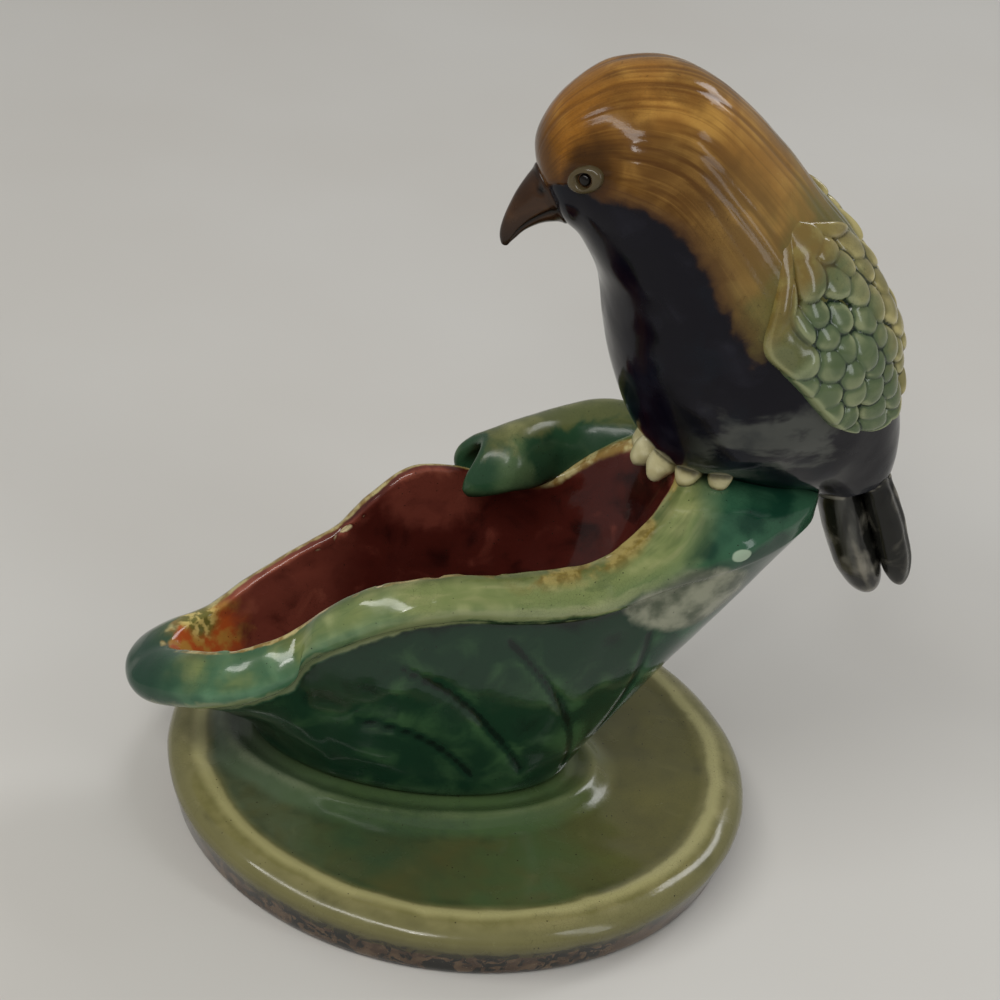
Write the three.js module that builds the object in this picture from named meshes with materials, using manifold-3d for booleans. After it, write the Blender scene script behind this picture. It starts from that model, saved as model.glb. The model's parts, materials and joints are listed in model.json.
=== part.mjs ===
// A majolica ornament: a round footed base, an open leaf bowl with a rolled and lobed rim, and a bird
// perched on the leaf's stalk. Every piece was pressed, cast or rolled by itself and luted on with slip
// before the glaze firing. Millimetres, +Z up, +X from the leaf's tip towards the bird's tail. The origin is
// on the shelf, under the middle of the figure's whole length and breadth.

import * as THREE from "three";
import { mergeVertices } from "three/addons/utils/BufferGeometryUtils.js";
import Module from "manifold-3d";

// Joints
const SLIP_GAP = 0.3; // between any two luted pieces

// Base
const BASE_RADIUS = 51;
const BASE_HEIGHT = 10.5;
const BASE_EDGE_ROUND = 3.2;
const BASE_TAPER = 2; // how far the side draws in towards the foot
const BASE_DISH = 0.7; // how far the top dips inside its rounded edge
const DISH_RUN = 7.7; // from the side to where the dip is at its full depth
const FOOT_RING_WIDTH = 8;
const FOOT_CHAMFER = 1.2;
const FOOT_RECESS = 4.5; // how far the underside is hollowed inside the foot ring
const PAD_HALF_LENGTH = 36;
const PAD_HALF_WIDTH = 25;
const PAD_HEIGHT = 0.9;
const PAD_SLOPE = 2.4; // how far the pad's edge slopes out
const PAD_SINK = 2; // how far the pad goes down into the disc

// Leaf bowl
const LEAF_LENGTH = 82; // the mouth, from the tip to the stalk
const LEAF_SHIFT = -9; // from the base's middle to the middle of the leaf's foot
const LEAF_FOOT_HALF_LENGTH = 28;
const LEAF_FOOT_HALF_WIDTH = 16;
const LEAF_FOOT_TURN = THREE.MathUtils.degToRad(-14); // the foot was set down a little askew
const LEAF_WALL = 4.5;
const LEAF_FLOOR = 4.5;
const LEAF_FOOT_ROUND = 1.2;
const LIP_CROWN = 1.6; // how far the rolled lip arches over the straight line across it
const PERCH_CROWN = 1.2; // how much more the top of the stalk arches, under the bird
const LIP_ROLL = 4.2; // height of the roll under the lip's outer edge
const LIP_TUCK = 3; // how far the wall tucks in under the roll
const VEIN_HALF_WIDTH = 0.7;
const VEIN_DEPTH = 0.8;
const FOLD_THICKNESS = 2.8;

// Bird
const BIRD_HEIGHT = 73.3; // from its seat to the crown of its head
const BIRD_SEAT_AHEAD = 53; // from the middle of the leaf's foot to the bird's seat, along the leaf
const BIRD_SEAT_ACROSS = 3;
const BIRD_SEAT_UP = 54.4; // above the leaf's foot
const WING_THICKNESS = 1.4;
const WING_SEAT = SLIP_GAP + 0.15; // the pad's underside clears the rounding of the body
const WING_EDGE = 0.4; // the pad's thickness at its edges
const SCALE_LENGTH = 5.4; // from one row of feathers to the next
const SCALE_BREADTH = 5.8;
const SCALE_RISE = 0.35; // how far a feather stands over the pad
const TOE_LENGTH = 6.4;
const TOE_RADIUS = 2.1;
const EYE_HALF_LENGTH = 3.2;
const EYE_HALF_HEIGHT = 2.1;
const EYE_DEPTH = 1.6; // how far an eye is set into the head
const EYE_RISE = 0.9; // how far it stands out
const PUPIL_RADIUS = 1.1;
const PUPIL_RISE = 0.8;

const wasm = await Module();
wasm.setup();

const point = (x, y, z) => new THREE.Vector3(x, y, z);
const UP = point(0, 0, 1);
const ACROSS = point(0, 1, 0);

function facingOut(points, faces) {
  const corner = ([a, b, c]) => points[a].dot(points[b].clone().cross(points[c]));
  const volume = faces.reduce((sum, face) => sum + corner(face), 0);
  const geometry = new THREE.BufferGeometry().setFromPoints(points);
  geometry.setIndex(volume < 0 ? faces.flatMap(([a, b, c]) => [a, c, b]) : faces.flat());
  return geometry;
}

// A closed skin through rings with the same number of points. Its end rings close on their own middles.
function skin(rings) {
  const sides = rings[0].length;
  const middle = (ring) => ring.reduce((sum, p) => sum.add(p), point(0, 0, 0)).divideScalar(sides);
  const points = [...rings.flat(), middle(rings[0]), middle(rings.at(-1))];
  const faces = [];
  for (let j = 0; j < sides; j++) {
    const next = (j + 1) % sides;
    faces.push([rings.length * sides, next, j]);
    for (let i = 0; i + 1 < rings.length; i++) {
      const a = i * sides;
      const b = a + sides;
      faces.push([a + j, a + next, b + next], [a + j, b + next, b + j]);
    }
    const last = (rings.length - 1) * sides;
    faces.push([rings.length * sides + 1, last + j, last + next]);
  }
  return facingOut(points, faces);
}

// A closed sheet between an outer and an inner grid of points.
function sheet(outer, inner) {
  const rows = outer.length;
  const columns = outer[0].length;
  const points = [...outer.flat(), ...inner.flat()];
  const faces = [];
  const patch = (a, b, c, d) => faces.push([a, b, c], [a, c, d]);
  const under = rows * columns;
  for (let i = 0; i + 1 < rows; i++) {
    for (let j = 0; j + 1 < columns; j++) {
      const a = i * columns + j;
      const b = a + columns;
      patch(a, a + 1, b + 1, b);
      patch(under + a, under + b, under + b + 1, under + a + 1);
    }
  }
  const loop = [];
  for (let j = 0; j + 1 < columns; j++) loop.push(j);
  for (let i = 0; i + 1 < rows; i++) loop.push(i * columns + columns - 1);
  for (let j = columns - 1; j > 0; j--) loop.push((rows - 1) * columns + j);
  for (let i = rows - 1; i > 0; i--) loop.push(i * columns);
  loop.forEach((a, k) => {
    const b = loop[(k + 1) % loop.length];
    patch(b, a, under + a, under + b);
  });
  return facingOut(points, faces);
}

// Turns a geometry into a solid that can be cut and joined.
function solid(geometry) {
  const bare = geometry.clone();
  bare.deleteAttribute("normal");
  bare.deleteAttribute("uv");
  const merged = mergeVertices(bare, 1e-4);
  return new wasm.Manifold(
    new wasm.Mesh({
      numProp: 3,
      vertProperties: new Float32Array(merged.attributes.position.array),
      triVerts: new Uint32Array(merged.index.array),
    }),
  );
}

function shape(made) {
  const mesh = made.getMesh();
  const geometry = new THREE.BufferGeometry();
  geometry.setAttribute("position", new THREE.BufferAttribute(mesh.vertProperties, 3));
  geometry.setIndex(new THREE.BufferAttribute(mesh.triVerts, 1));
  return geometry;
}

function cut(geometry, ...tools) {
  return shape(tools.reduce((left, tool) => left.subtract(solid(tool)), solid(geometry)));
}

function join(geometry, ...others) {
  return shape(others.reduce((sum, other) => sum.add(solid(other)), solid(geometry)));
}

// A ring of points about a middle, each at the given offsets along two directions.
function ringOf(sides, middle, first, firstReach, second, secondReach) {
  return Array.from({ length: sides }, (_, j) => {
    const a = (j / sides) * 2 * Math.PI;
    return middle
      .clone()
      .addScaledVector(first, firstReach * Math.cos(a))
      .addScaledVector(second, secondReach * Math.sin(a));
  });
}

// A smooth curve through b and c, at share s from one to the other, with a and d as their neighbours.
function blend([a, b, c, d], s) {
  return b + 0.5 * s * (c - a + s * (2 * a - 5 * b + 4 * c - d + s * (3 * (b - c) + d - a)));
}

// A smooth value at share t of the way along evenly spaced stations.
function along(stations, key, t) {
  const span = stations.length - 1;
  const at = Math.min(Math.max(t, 0), 1) * span;
  const i = Math.min(Math.floor(at), span - 1);
  const value = (k) => stations[Math.min(Math.max(k, 0), span)][key];
  return blend([i - 1, i, i + 1, i + 2].map(value), at - i);
}

// The same round a closed ring of stations.
function around(stations, key, t) {
  const count = stations.length;
  const at = (t - Math.floor(t)) * count;
  const i = Math.floor(at);
  const value = (k) => stations[(k + count) % count][key];
  return blend([i - 1, i, i + 1, i + 2].map(value), at - i);
}

// Stations hold their lengths in hundredths of a main length, so that a form keeps its proportions.
function sized(stations, length, keys) {
  return stations.map((station) => {
    const lengths = keys.map((key) => [key, (station[key] * length) / 100]);
    return { ...station, ...Object.fromEntries(lengths) };
  });
}

// Base

const PAD_TOP = BASE_HEIGHT + PAD_HEIGHT;
const BASE_SIDES = 44;

function baseDisc() {
  const footRadius = BASE_RADIUS - BASE_TAPER;
  const recessRadius = footRadius - FOOT_RING_WIDTH;
  const edgeRadius = BASE_RADIUS - BASE_EDGE_ROUND;
  const edgeUp = BASE_HEIGHT - BASE_EDGE_ROUND;
  const dishRadius = BASE_RADIUS - DISH_RUN;
  const dishUp = BASE_HEIGHT - BASE_DISH;
  const profile = new THREE.Path();
  profile.moveTo(0, FOOT_RECESS);
  profile.lineTo(recessRadius - FOOT_RECESS, FOOT_RECESS);
  profile.lineTo(recessRadius, 0);
  profile.lineTo(footRadius - FOOT_CHAMFER, 0);
  profile.lineTo(footRadius, FOOT_CHAMFER);
  profile.lineTo(BASE_RADIUS, edgeUp);
  profile.absarc(edgeRadius, edgeUp, BASE_EDGE_ROUND, 0, Math.PI / 2);
  profile.quadraticCurveTo((dishRadius + edgeRadius) / 2, BASE_HEIGHT, dishRadius, dishUp);
  profile.lineTo(0, dishUp);
  return new THREE.LatheGeometry(profile.getPoints(2), BASE_SIDES).rotateX(Math.PI / 2);
}

function basePad() {
  const outline = new THREE.Shape();
  outline.absellipse(LEAF_SHIFT, 0, PAD_HALF_LENGTH, PAD_HALF_WIDTH, 0, Math.PI * 2);
  return new THREE.ExtrudeGeometry(outline, {
    depth: PAD_SINK,
    bevelThickness: PAD_HEIGHT + BASE_DISH,
    bevelSize: PAD_SLOPE,
    bevelOffset: -PAD_SLOPE,
    bevelSegments: 2,
    curveSegments: 22,
  }).translate(0, 0, BASE_HEIGHT - BASE_DISH - PAD_SINK);
}

// Leaf bowl. The stations go round the mouth from the tip, past the viewer's side, the stalk and the far
// side, in hundredths of the leaf's length. ahead, across and up place the lip's inner edge, from the middle
// of the leaf's foot, or on the stalk from the bird's seat. lip is the lip's width, fall is how far its outer
// edge hangs below the inner one, and swell is how far the outer wall bellies out. roll is 1 on a rolled lip
// and 0 on the stalk.

const RIM_STATIONS = [
  { ahead: -52.4, across: -1.2, up: 24.4, lip: 9.1, fall: 5.5, roll: 1, swell: -6.1 },
  { ahead: -44.5, across: -11.6, up: 30.7, lip: 8.5, fall: 6.1, roll: 1, swell: -4.3 },
  { ahead: -34.1, across: -15.9, up: 36.6, lip: 7.9, fall: 6.1, roll: 1, swell: -1.2 },
  { ahead: -27.4, across: -15.9, up: 41.1, lip: 6.7, fall: 4.9, roll: 1, swell: 0.6 },
  { ahead: -20.7, across: -18.3, up: 48.3, lip: 6.7, fall: 4.3, roll: 1, swell: 1.2 },
  { ahead: -9.8, across: -20.1, up: 54.1, lip: 7.3, fall: 3.7, roll: 1, swell: 1.2 },
  { ahead: 2.4, across: -20.1, up: 56.1, lip: 7.3, fall: 3.7, roll: 1, swell: 1.2 },
  { ahead: 14.6, across: -19.5, up: 56.3, lip: 7.3, fall: 4.3, roll: 1, swell: 1.2 },
  { ahead: 28, across: -17.1, up: 57.3, lip: 8.5, fall: 4.9, roll: 1, swell: 1.2 },
  { stalk: 1, ahead: -25.6, across: -15.2, up: -3.9, lip: 12.2, fall: 5.2, roll: 0.8, swell: 1.2 },
  { stalk: 1, ahead: -18.9, across: -8.5, up: 1.5, lip: 22, fall: 4.9, roll: 0.1, swell: 0.6 },
  { stalk: 1, ahead: -17.1, across: -1.2, up: 2.9, lip: 32.3, fall: 4.4, roll: 0, swell: 0 },
  { stalk: 1, ahead: -20.7, across: 7.3, up: 2, lip: 22, fall: 5.9, roll: 0.1, swell: 0.6 },
  { stalk: 1, ahead: -28, across: 12.2, up: -3.5, lip: 11, fall: 6.1, roll: 0.8, swell: 1.2 },
  { ahead: 28, across: 18, up: 54.9, lip: 7.3, fall: 3.7, roll: 1, swell: 1.2 },
  { ahead: 17.1, across: 19.5, up: 53, lip: 6.1, fall: 3.7, roll: 1, swell: 1.2 },
  { ahead: 6.1, across: 20.1, up: 54.9, lip: 6.1, fall: 3.7, roll: 1, swell: 1.2 },
  { ahead: -2.4, across: 19.5, up: 54.3, lip: 6.1, fall: 3.7, roll: 1, swell: 1.2 },
  { ahead: -9.8, across: 18.5, up: 48.2, lip: 6.1, fall: 3.7, roll: 1, swell: 1.2 },
  { ahead: -17.1, across: 17.7, up: 40.2, lip: 6.1, fall: 3.7, roll: 1, swell: 1.2 },
  { ahead: -25.6, across: 17.1, up: 34.8, lip: 6.1, fall: 4.3, roll: 1, swell: 0.6 },
  { ahead: -34.1, across: 15.2, up: 29.3, lip: 6.7, fall: 4.9, roll: 1, swell: -1.2 },
  { ahead: -42.1, across: 11.6, up: 24.4, lip: 7.3, fall: 4.9, roll: 1, swell: -3.7 },
  { ahead: -48.8, across: 6.7, up: 23.8, lip: 8.5, fall: 4.9, roll: 1, swell: -5.5 },
];
const RIM_LENGTHS = ["ahead", "across", "up", "lip", "fall", "swell"];

function placed({ stalk = 0, ahead, across, up, ...lip }) {
  return {
    ahead: ahead + stalk * BIRD_SEAT_AHEAD,
    across: across + stalk * BIRD_SEAT_ACROSS,
    up: up + stalk * BIRD_SEAT_UP,
    ...lip,
  };
}

const RIM = sized(RIM_STATIONS, LEAF_LENGTH, RIM_LENGTHS).map(placed);

const MOUTH_CENTRE = -2; // where the directions from which the foot meets the rim start
const MOUTH_HALF_LENGTH = LEAF_LENGTH / 2;
const MOUTH_HALF_WIDTH = 16.5;

function rimAt(t) {
  const edge = point(around(RIM, "ahead", t), around(RIM, "across", t), around(RIM, "up", t));
  const step = 0.004;
  const before = point(around(RIM, "ahead", t - step), around(RIM, "across", t - step), 0);
  const after = point(around(RIM, "ahead", t + step), around(RIM, "across", t + step), 0);
  const tangent = after.sub(before).normalize();
  const out = point(tangent.y, -tangent.x, 0);
  const turn = Math.atan2(edge.y / MOUTH_HALF_WIDTH, (edge.x - MOUTH_CENTRE) / MOUTH_HALF_LENGTH);
  const [lip, fall, roll, swell] = ["lip", "fall", "roll", "swell"].map((key) => around(RIM, key, t));
  return { edge, out, turn, lip, fall, roll, swell };
}

const WALL_SHARES = [0.25, 0.5, 0.75];
const INNER_BELLY = [0.7, 0.8, 0.6]; // how far the inner wall bellies out, at the same shares
const FLOOR_COVE = 1.5; // how much further in the floor's edge lies than the wall's thickness
const FLOOR_HEART = 4.5; // and the ring that closes the floor

// The rings of the bowl's skin, from the middle of its foot, up the outside, over the lip and down inside.
function leafProfile(t) {
  const { edge, out, turn, lip, fall, roll, swell } = rimAt(t);
  const footRing = (inset, up) => {
    const long = (LEAF_FOOT_HALF_LENGTH - inset) * Math.cos(turn - LEAF_FOOT_TURN);
    const wide = (LEAF_FOOT_HALF_WIDTH - inset) * Math.sin(turn - LEAF_FOOT_TURN);
    return point(long, wide, up).applyAxisAngle(UP, LEAF_FOOT_TURN);
  };
  const tuck = LIP_TUCK * roll;
  const crown = LIP_CROWN + PERCH_CROWN * (1 - roll);
  const outer = edge.clone().addScaledVector(out, lip).addScaledVector(UP, -fall);
  const under = outer.clone().addScaledVector(out, -tuck * 0.25).addScaledVector(UP, -LIP_ROLL * 0.65);
  const neck = outer.clone().addScaledVector(out, -tuck).addScaledVector(UP, -LIP_ROLL);
  const rest = footRing(0.8, 0);
  const foot = footRing(0, LEAF_FOOT_ROUND);
  const floor = footRing(LEAF_WALL + FLOOR_COVE, LEAF_FLOOR);
  const heart = footRing(LEAF_WALL + FLOOR_COVE + FLOOR_HEART, LEAF_FLOOR);
  const wallAt = (s) => foot.clone().lerp(neck, s).addScaledVector(out, swell * 4 * s * (1 - s));
  const outside = WALL_SHARES.map(wallAt);
  const crest = WALL_SHARES.map((s) =>
    outer.clone().lerp(edge, s).addScaledVector(UP, crown * Math.sin(Math.PI * s)),
  );
  const inside = WALL_SHARES.map((s, i) => edge.clone().lerp(floor, s).addScaledVector(out, INNER_BELLY[i]));
  const rings = [rest, foot, ...outside, neck, under, outer, ...crest, edge, ...inside, floor, heart];
  return { wallAt, out, rings };
}

const LEAF_STEPS = 62;

function leafForm() {
  const columns = Array.from({ length: LEAF_STEPS }, (_, i) => leafProfile(i / LEAF_STEPS).rings);
  return skin(columns[0].map((_, j) => columns.map((column) => column[j])));
}

// Veins: shallow grooves that rise over both outer walls from the foot. Each runs from its start to its end
// round the rim, and from its foot to its reach up the wall.

const VEIN_BOW = 0.05; // how far up the wall each stands over the straight line
const VEINS = [
  { start: 0.266, foot: 0.12, end: 0.168, reach: 0.48 },
  { start: 0.318, foot: 0.13, end: 0.21, reach: 0.75 },
  { start: 0.374, foot: 0.08, end: 0.286, reach: 0.88 },
  { start: 0.402, foot: 0.12, end: 0.38, reach: 0.76 },
];

// One groove on the wall: a tapered wedge that stands out of the wall and cuts VEIN_DEPTH into it.
function vein({ start, foot, end, reach }, side) {
  const steps = 10;
  const course = Array.from({ length: steps + 1 }, (_, i) => {
    const share = i / steps;
    const t = THREE.MathUtils.lerp(start, end, share);
    const height = THREE.MathUtils.lerp(foot, reach, share) + VEIN_BOW * 4 * share * (1 - share);
    const { wallAt, out } = leafProfile(side > 0 ? t : 1 - t);
    return { at: wallAt(height), out };
  });
  const rings = course.map(({ at, out }, i) => {
    const run = course[Math.min(i + 1, steps)].at.clone().sub(course[Math.max(i - 1, 0)].at);
    const across = run.cross(out).normalize();
    const fade = 0.35 + 0.65 * Math.sin((i / steps) * Math.PI) ** 0.5;
    const mouth = at.clone().addScaledVector(out, VEIN_DEPTH);
    return [
      mouth.clone().addScaledVector(across, 2 * VEIN_HALF_WIDTH * fade),
      mouth.clone().addScaledVector(across, -2 * VEIN_HALF_WIDTH * fade),
      at.clone().addScaledVector(out, -VEIN_DEPTH * fade),
    ];
  });
  return skin(rings);
}

// Folded lobe: the far rim's lobe, turned up and rolled over. It hangs into the bowl at its start and then
// stands behind the rim. Its stations run along the rim, in hundredths of the leaf's length.

const FOLD_START = 0.655; // round the rim
const FOLD_END = 0.52;
const FOLD_RUN = 26; // its length along the rim
const FOLD_LENGTHS = ["size", "rise", "lean"];
const FOLD = sized(
  [
    { size: 4.4, rise: 0, lean: 0.6 },
    { size: 6.6, rise: 3, lean: 0 },
    { size: 7.8, rise: 0.6, lean: 9.4 },
    { size: 7.3, rise: -1.7, lean: 10.9 },
    { size: 5.4, rise: -4.1, lean: 6.7 },
  ],
  LEAF_LENGTH,
  FOLD_LENGTHS,
);
const FOLD_OPENING = THREE.MathUtils.degToRad(-35); // where the roll starts, on the rim
const FOLD_SWEEP = THREE.MathUtils.degToRad(215);
const FOLD_TALL = 1.15; // the roll's height over its breadth
const FOLD_INWARD = 0.55; // how far the roll leans over the bowl, in its own size

// One face of the fold, offset from its middle sheet. grow also lengthens it along and round the roll.
function foldFace(offset, grow) {
  const rows = 12;
  const columns = 8;
  return Array.from({ length: rows + 1 }, (_, i) => {
    const share = i / rows + (grow / FOLD_RUN) * (2 * (i / rows) - 1);
    const { edge, out, lip } = rimAt(THREE.MathUtils.lerp(FOLD_START, FOLD_END, share));
    const [size, rise, lean] = FOLD_LENGTHS.map((key) => along(FOLD, key, i / rows));
    const inward = lip / 2 - size * FOLD_INWARD + lean;
    const middle = edge.clone().addScaledVector(out, inward).addScaledVector(UP, rise);
    return Array.from({ length: columns + 1 }, (_, j) => {
      const spread = (grow / size) * (2 * (j / columns) - 1);
      const turn = FOLD_OPENING + FOLD_SWEEP * (j / columns) + spread;
      const reach = size + offset;
      return middle
        .clone()
        .addScaledVector(out, reach * Math.cos(turn))
        .addScaledVector(UP, reach * FOLD_TALL * Math.sin(turn));
    });
  });
}

function foldForm(grow) {
  const half = FOLD_THICKNESS / 2 + grow;
  return sheet(foldFace(half, grow), foldFace(-half, grow));
}

// Bird. The stations run from the face to the root of the tail, in hundredths of the bird's height. belly and
// back give the two ends of the section, ahead of and above the seat, and wide is half its breadth.

const BODY_STATIONS = [
  { bellyAhead: -53.3, bellyUp: 64.8, backAhead: -58.5, backUp: 73.8, wide: 4.5 },
  { bellyAhead: -52, bellyUp: 63.3, backAhead: -60, backUp: 80.9, wide: 8.7 },
  { bellyAhead: -49.5, bellyUp: 61.3, backAhead: -57.2, backUp: 89.2, wide: 12.8 },
  { bellyAhead: -47.1, bellyUp: 57.8, backAhead: -51.8, backUp: 95.1, wide: 16.4 },
  { bellyAhead: -44.3, bellyUp: 53.3, backAhead: -43, backUp: 100, wide: 20.2 },
  { bellyAhead: -41.7, bellyUp: 47.9, backAhead: -27.7, backUp: 99.6, wide: 22.9 },
  { bellyAhead: -39.6, bellyUp: 38.7, backAhead: -11.2, backUp: 88, wide: 24.8 },
  { bellyAhead: -35.9, bellyUp: 26.3, backAhead: 4.6, backUp: 72, wide: 26.2 },
  { bellyAhead: -30, bellyUp: 14.2, backAhead: 16.4, backUp: 58.7, wide: 26.7 },
  { bellyAhead: -22.2, bellyUp: 5.7, backAhead: 24.7, backUp: 45.2, wide: 25.4 },
  { bellyAhead: -12.4, bellyUp: 3.3, backAhead: 28.2, backUp: 33.7, wide: 21.6 },
  { bellyAhead: -1.1, bellyUp: 0.4, backAhead: 31.8, backUp: 21.7, wide: 16.8 },
  { bellyAhead: 10.1, bellyUp: -1, backAhead: 34, backUp: 9.5, wide: 11.6 },
  { bellyAhead: 16.6, bellyUp: -4, backAhead: 33.6, backUp: 1.9, wide: 8.2 },
];
const BODY = sized(BODY_STATIONS, BIRD_HEIGHT, ["bellyAhead", "bellyUp", "backAhead", "backUp", "wide"]);

// The section at share u of the body: back points up from the belly and run goes on towards the tail.
function bodyFrame(u) {
  const belly = point(along(BODY, "bellyAhead", u), 0, along(BODY, "bellyUp", u));
  const top = point(along(BODY, "backAhead", u), 0, along(BODY, "backUp", u));
  const back = top.clone().sub(belly);
  const deep = back.length() / 2;
  back.normalize();
  return { middle: belly.lerp(top, 0.5), run: point(back.z, 0, -back.x), back, deep };
}

// A point on the body, or grow above it. Turn 0 is the back and a quarter turn is the viewer's side.
function bodyPoint(u, turn, grow = 0) {
  const { middle, run, back, deep } = bodyFrame(u);
  const wide = along(BODY, "wide", u) + grow;
  return middle
    .addScaledVector(run, grow * (2 * u - 1))
    .addScaledVector(back, (deep + grow) * Math.cos(turn))
    .addScaledVector(ACROSS, -wide * Math.sin(turn));
}

// Where a piece sits on the body: its axes lie tail-ward, round the body and straight out.
function bodySeat(u, turn) {
  const nudge = 0.01;
  const origin = bodyPoint(u, turn);
  const down = bodyPoint(u + nudge, turn).sub(bodyPoint(u - nudge, turn)).normalize();
  const round = bodyPoint(u, turn + nudge).sub(bodyPoint(u, turn - nudge)).normalize();
  const out = down.clone().cross(round).normalize();
  if (out.dot(origin.clone().sub(bodyFrame(u).middle)) < 0) out.negate();
  const side = out.clone().cross(down);
  return new THREE.Matrix4().makeBasis(down, side, out).setPosition(origin);
}

function birdForm(grow) {
  const steps = 24;
  const sides = 26;
  const turns = Array.from({ length: sides }, (_, j) => (j / sides) * 2 * Math.PI);
  const ring = (u) => turns.map((turn) => bodyPoint(u, turn, grow));
  return skin(Array.from({ length: steps + 1 }, (_, i) => ring(i / steps)));
}

// Wings: a pad that follows the body under rows of overlapping feathers. The stations run from the shoulder
// to the rump, and low and high are how far round the body, in degrees, the wing's two edges lie.

const WING_START = 0.47;
const WING_END = 0.82;
const WING = [
  { low: 50, high: 46 },
  { low: 62, high: 33 },
  { low: 86, high: 14 },
  { low: 85, high: 9 },
  { low: 82, high: 9 },
  { low: 80, high: 9 },
  { low: 78, high: 12 },
  { low: 70, high: 19 },
  { low: 51, high: 35 },
];

const wingShare = (t) => THREE.MathUtils.lerp(WING_START, WING_END, t);

// How far round the body the wing's point at share t of its length and s of its breadth lies.
function wingTurn(t, s) {
  return THREE.MathUtils.degToRad(THREE.MathUtils.lerp(along(WING, "high", t), along(WING, "low", t), s));
}

function wingPad() {
  const rows = 11;
  const columns = 6;
  const face = (height) =>
    Array.from({ length: rows + 1 }, (_, i) =>
      Array.from({ length: columns + 1 }, (_, j) => {
        const [t, s] = [i / rows, j / columns];
        return bodyPoint(wingShare(t), wingTurn(t, s), height(t, s));
      }),
    );
  const swell = (t, s) => (4 * s * (1 - s)) ** 0.35 * (4 * t * (1 - t)) ** 0.25;
  const top = (t, s) => WING_SEAT + WING_EDGE + (WING_THICKNESS - WING_EDGE) * swell(t, s);
  return sheet(face(top), face(() => WING_SEAT));
}

const SCALE_OVERLAP = 1.28; // a feather's length over the step between rows
const SCALE_SPREAD = 1.12; // and its breadth over the step along a row
const SCALE_TILT = 0.17; // how steeply its free end lifts towards the tail
const SCALE_STAGGER = 0.18; // how far each row moves along, in steps
const FIRST_ROW = 0.7; // how far the first row lies from the wing's root, in rows

// One feather: a low rounded scale whose free end lifts towards the tail.
function feather(u, turn) {
  const halfLength = (SCALE_LENGTH * SCALE_OVERLAP) / 2;
  const halfBreadth = (SCALE_BREADTH * SCALE_SPREAD) / 2;
  const ring = (scale, height, tilt) => {
    const long = point(1, 0, tilt);
    return ringOf(8, point(0, 0, height), long, halfLength * scale, ACROSS, halfBreadth * scale);
  };
  const low = ring(1, WING_SEAT + SLIP_GAP, 0);
  const high = ring(0.9, WING_THICKNESS + SCALE_RISE, SCALE_TILT);
  return skin([low, high]).applyMatrix4(bodySeat(u, turn));
}

function wing() {
  const feathers = [];
  const length = bodyPoint(WING_START, Math.PI / 4).distanceTo(bodyPoint(WING_END, Math.PI / 4));
  const rows = Math.round(length / SCALE_LENGTH);
  for (let i = 0; i < rows; i++) {
    const t = (i + FIRST_ROW) / (rows + 0.4);
    const u = wingShare(t);
    const breadth = bodyPoint(u, wingTurn(t, 0)).distanceTo(bodyPoint(u, wingTurn(t, 1)));
    const count = Math.max(1, Math.round(breadth / SCALE_BREADTH));
    const stagger = i % 2 ? SCALE_STAGGER : -SCALE_STAGGER;
    for (let j = 0; j < count; j++) {
      feathers.push(feather(u, wingTurn(t, (j + 0.5 + stagger) / count)));
    }
  }
  return join(wingPad(), ...feathers);
}

// Tail: one long rounded feather under two slimmer ones, all leaving the end of the body.

const FEATHER_TIP = 0.72; // where a long feather starts to round off to its tip
const FEATHER_ROOT = 0.78; // how broad it is at its root

// How broad a long feather is at share t of its length.
function featherTaper(t) {
  const rounding = Math.max(0, (t - FEATHER_TIP) / (1 - FEATHER_TIP));
  const spread = FEATHER_ROOT + (1 - FEATHER_ROOT) * Math.min(1, 2 * t);
  return spread * Math.sqrt(Math.max(1 - rounding ** 2, 0.05));
}

function longFeather(root, tip, breadth, depth, bow) {
  const steps = 8;
  const run = tip.clone().sub(root).normalize();
  const out = point(-run.z, 0, run.x);
  const rings = Array.from({ length: steps + 1 }, (_, i) => {
    const t = i / steps;
    const middle = root.clone().lerp(tip, t).addScaledVector(out, bow * 4 * t * (1 - t));
    return ringOf(12, middle, out, depth * featherTaper(t), ACROSS, breadth * featherTaper(t));
  });
  return skin(rings);
}

// The tail's feathers, in hundredths of the bird's height. Each runs from its root to its tip, and apart is
// how far it lies from the tail's middle.
const TAIL_LENGTHS = ["rootAhead", "rootUp", "ahead", "up", "apart", "breadth", "depth", "bow"];
const [TAIL_UNDER, TAIL_UPPER] = sized(
  [
    { rootAhead: 17.7, rootUp: 8.2, ahead: 34.9, up: -31.4, apart: 0, breadth: 8.5, depth: 4.9, bow: -1.1 },
    { rootAhead: 25.2, rootUp: 9.5, ahead: 41.2, up: -27.3, apart: 4, breadth: 3.7, depth: 3.5, bow: 0.8 },
  ],
  BIRD_HEIGHT,
  TAIL_LENGTHS,
);

function tailFeather({ rootAhead, rootUp, ahead, up, apart, breadth, depth, bow }, side, grow) {
  const root = point(rootAhead, side * apart, rootUp);
  const tip = point(ahead, side * apart, up);
  return longFeather(root, tip, breadth + grow, depth + grow, bow);
}

const underFeather = (grow = 0) => tailFeather(TAIL_UNDER, 1, grow);
const upperFeather = (side, grow = 0) => tailFeather(TAIL_UPPER, side, grow);

// Beak: its stations run from the face to the tip, in hundredths of the bird's height.

const BEAK_STATIONS = [
  { ahead: -53.5, up: 70.7, deep: 8.2, wide: 6.5 },
  { ahead: -56.6, up: 68.8, deep: 6.8, wide: 5.5 },
  { ahead: -59.8, up: 66, deep: 4.8, wide: 4 },
  { ahead: -62.5, up: 62.5, deep: 3.1, wide: 2.6 },
  { ahead: -64.1, up: 58.9, deep: 1.9, wide: 1.6 },
  { ahead: -64.4, up: 56.5, deep: 0.7, wide: 0.7 },
];
const BEAK = sized(BEAK_STATIONS, BIRD_HEIGHT, ["ahead", "up", "deep", "wide"]);

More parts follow.
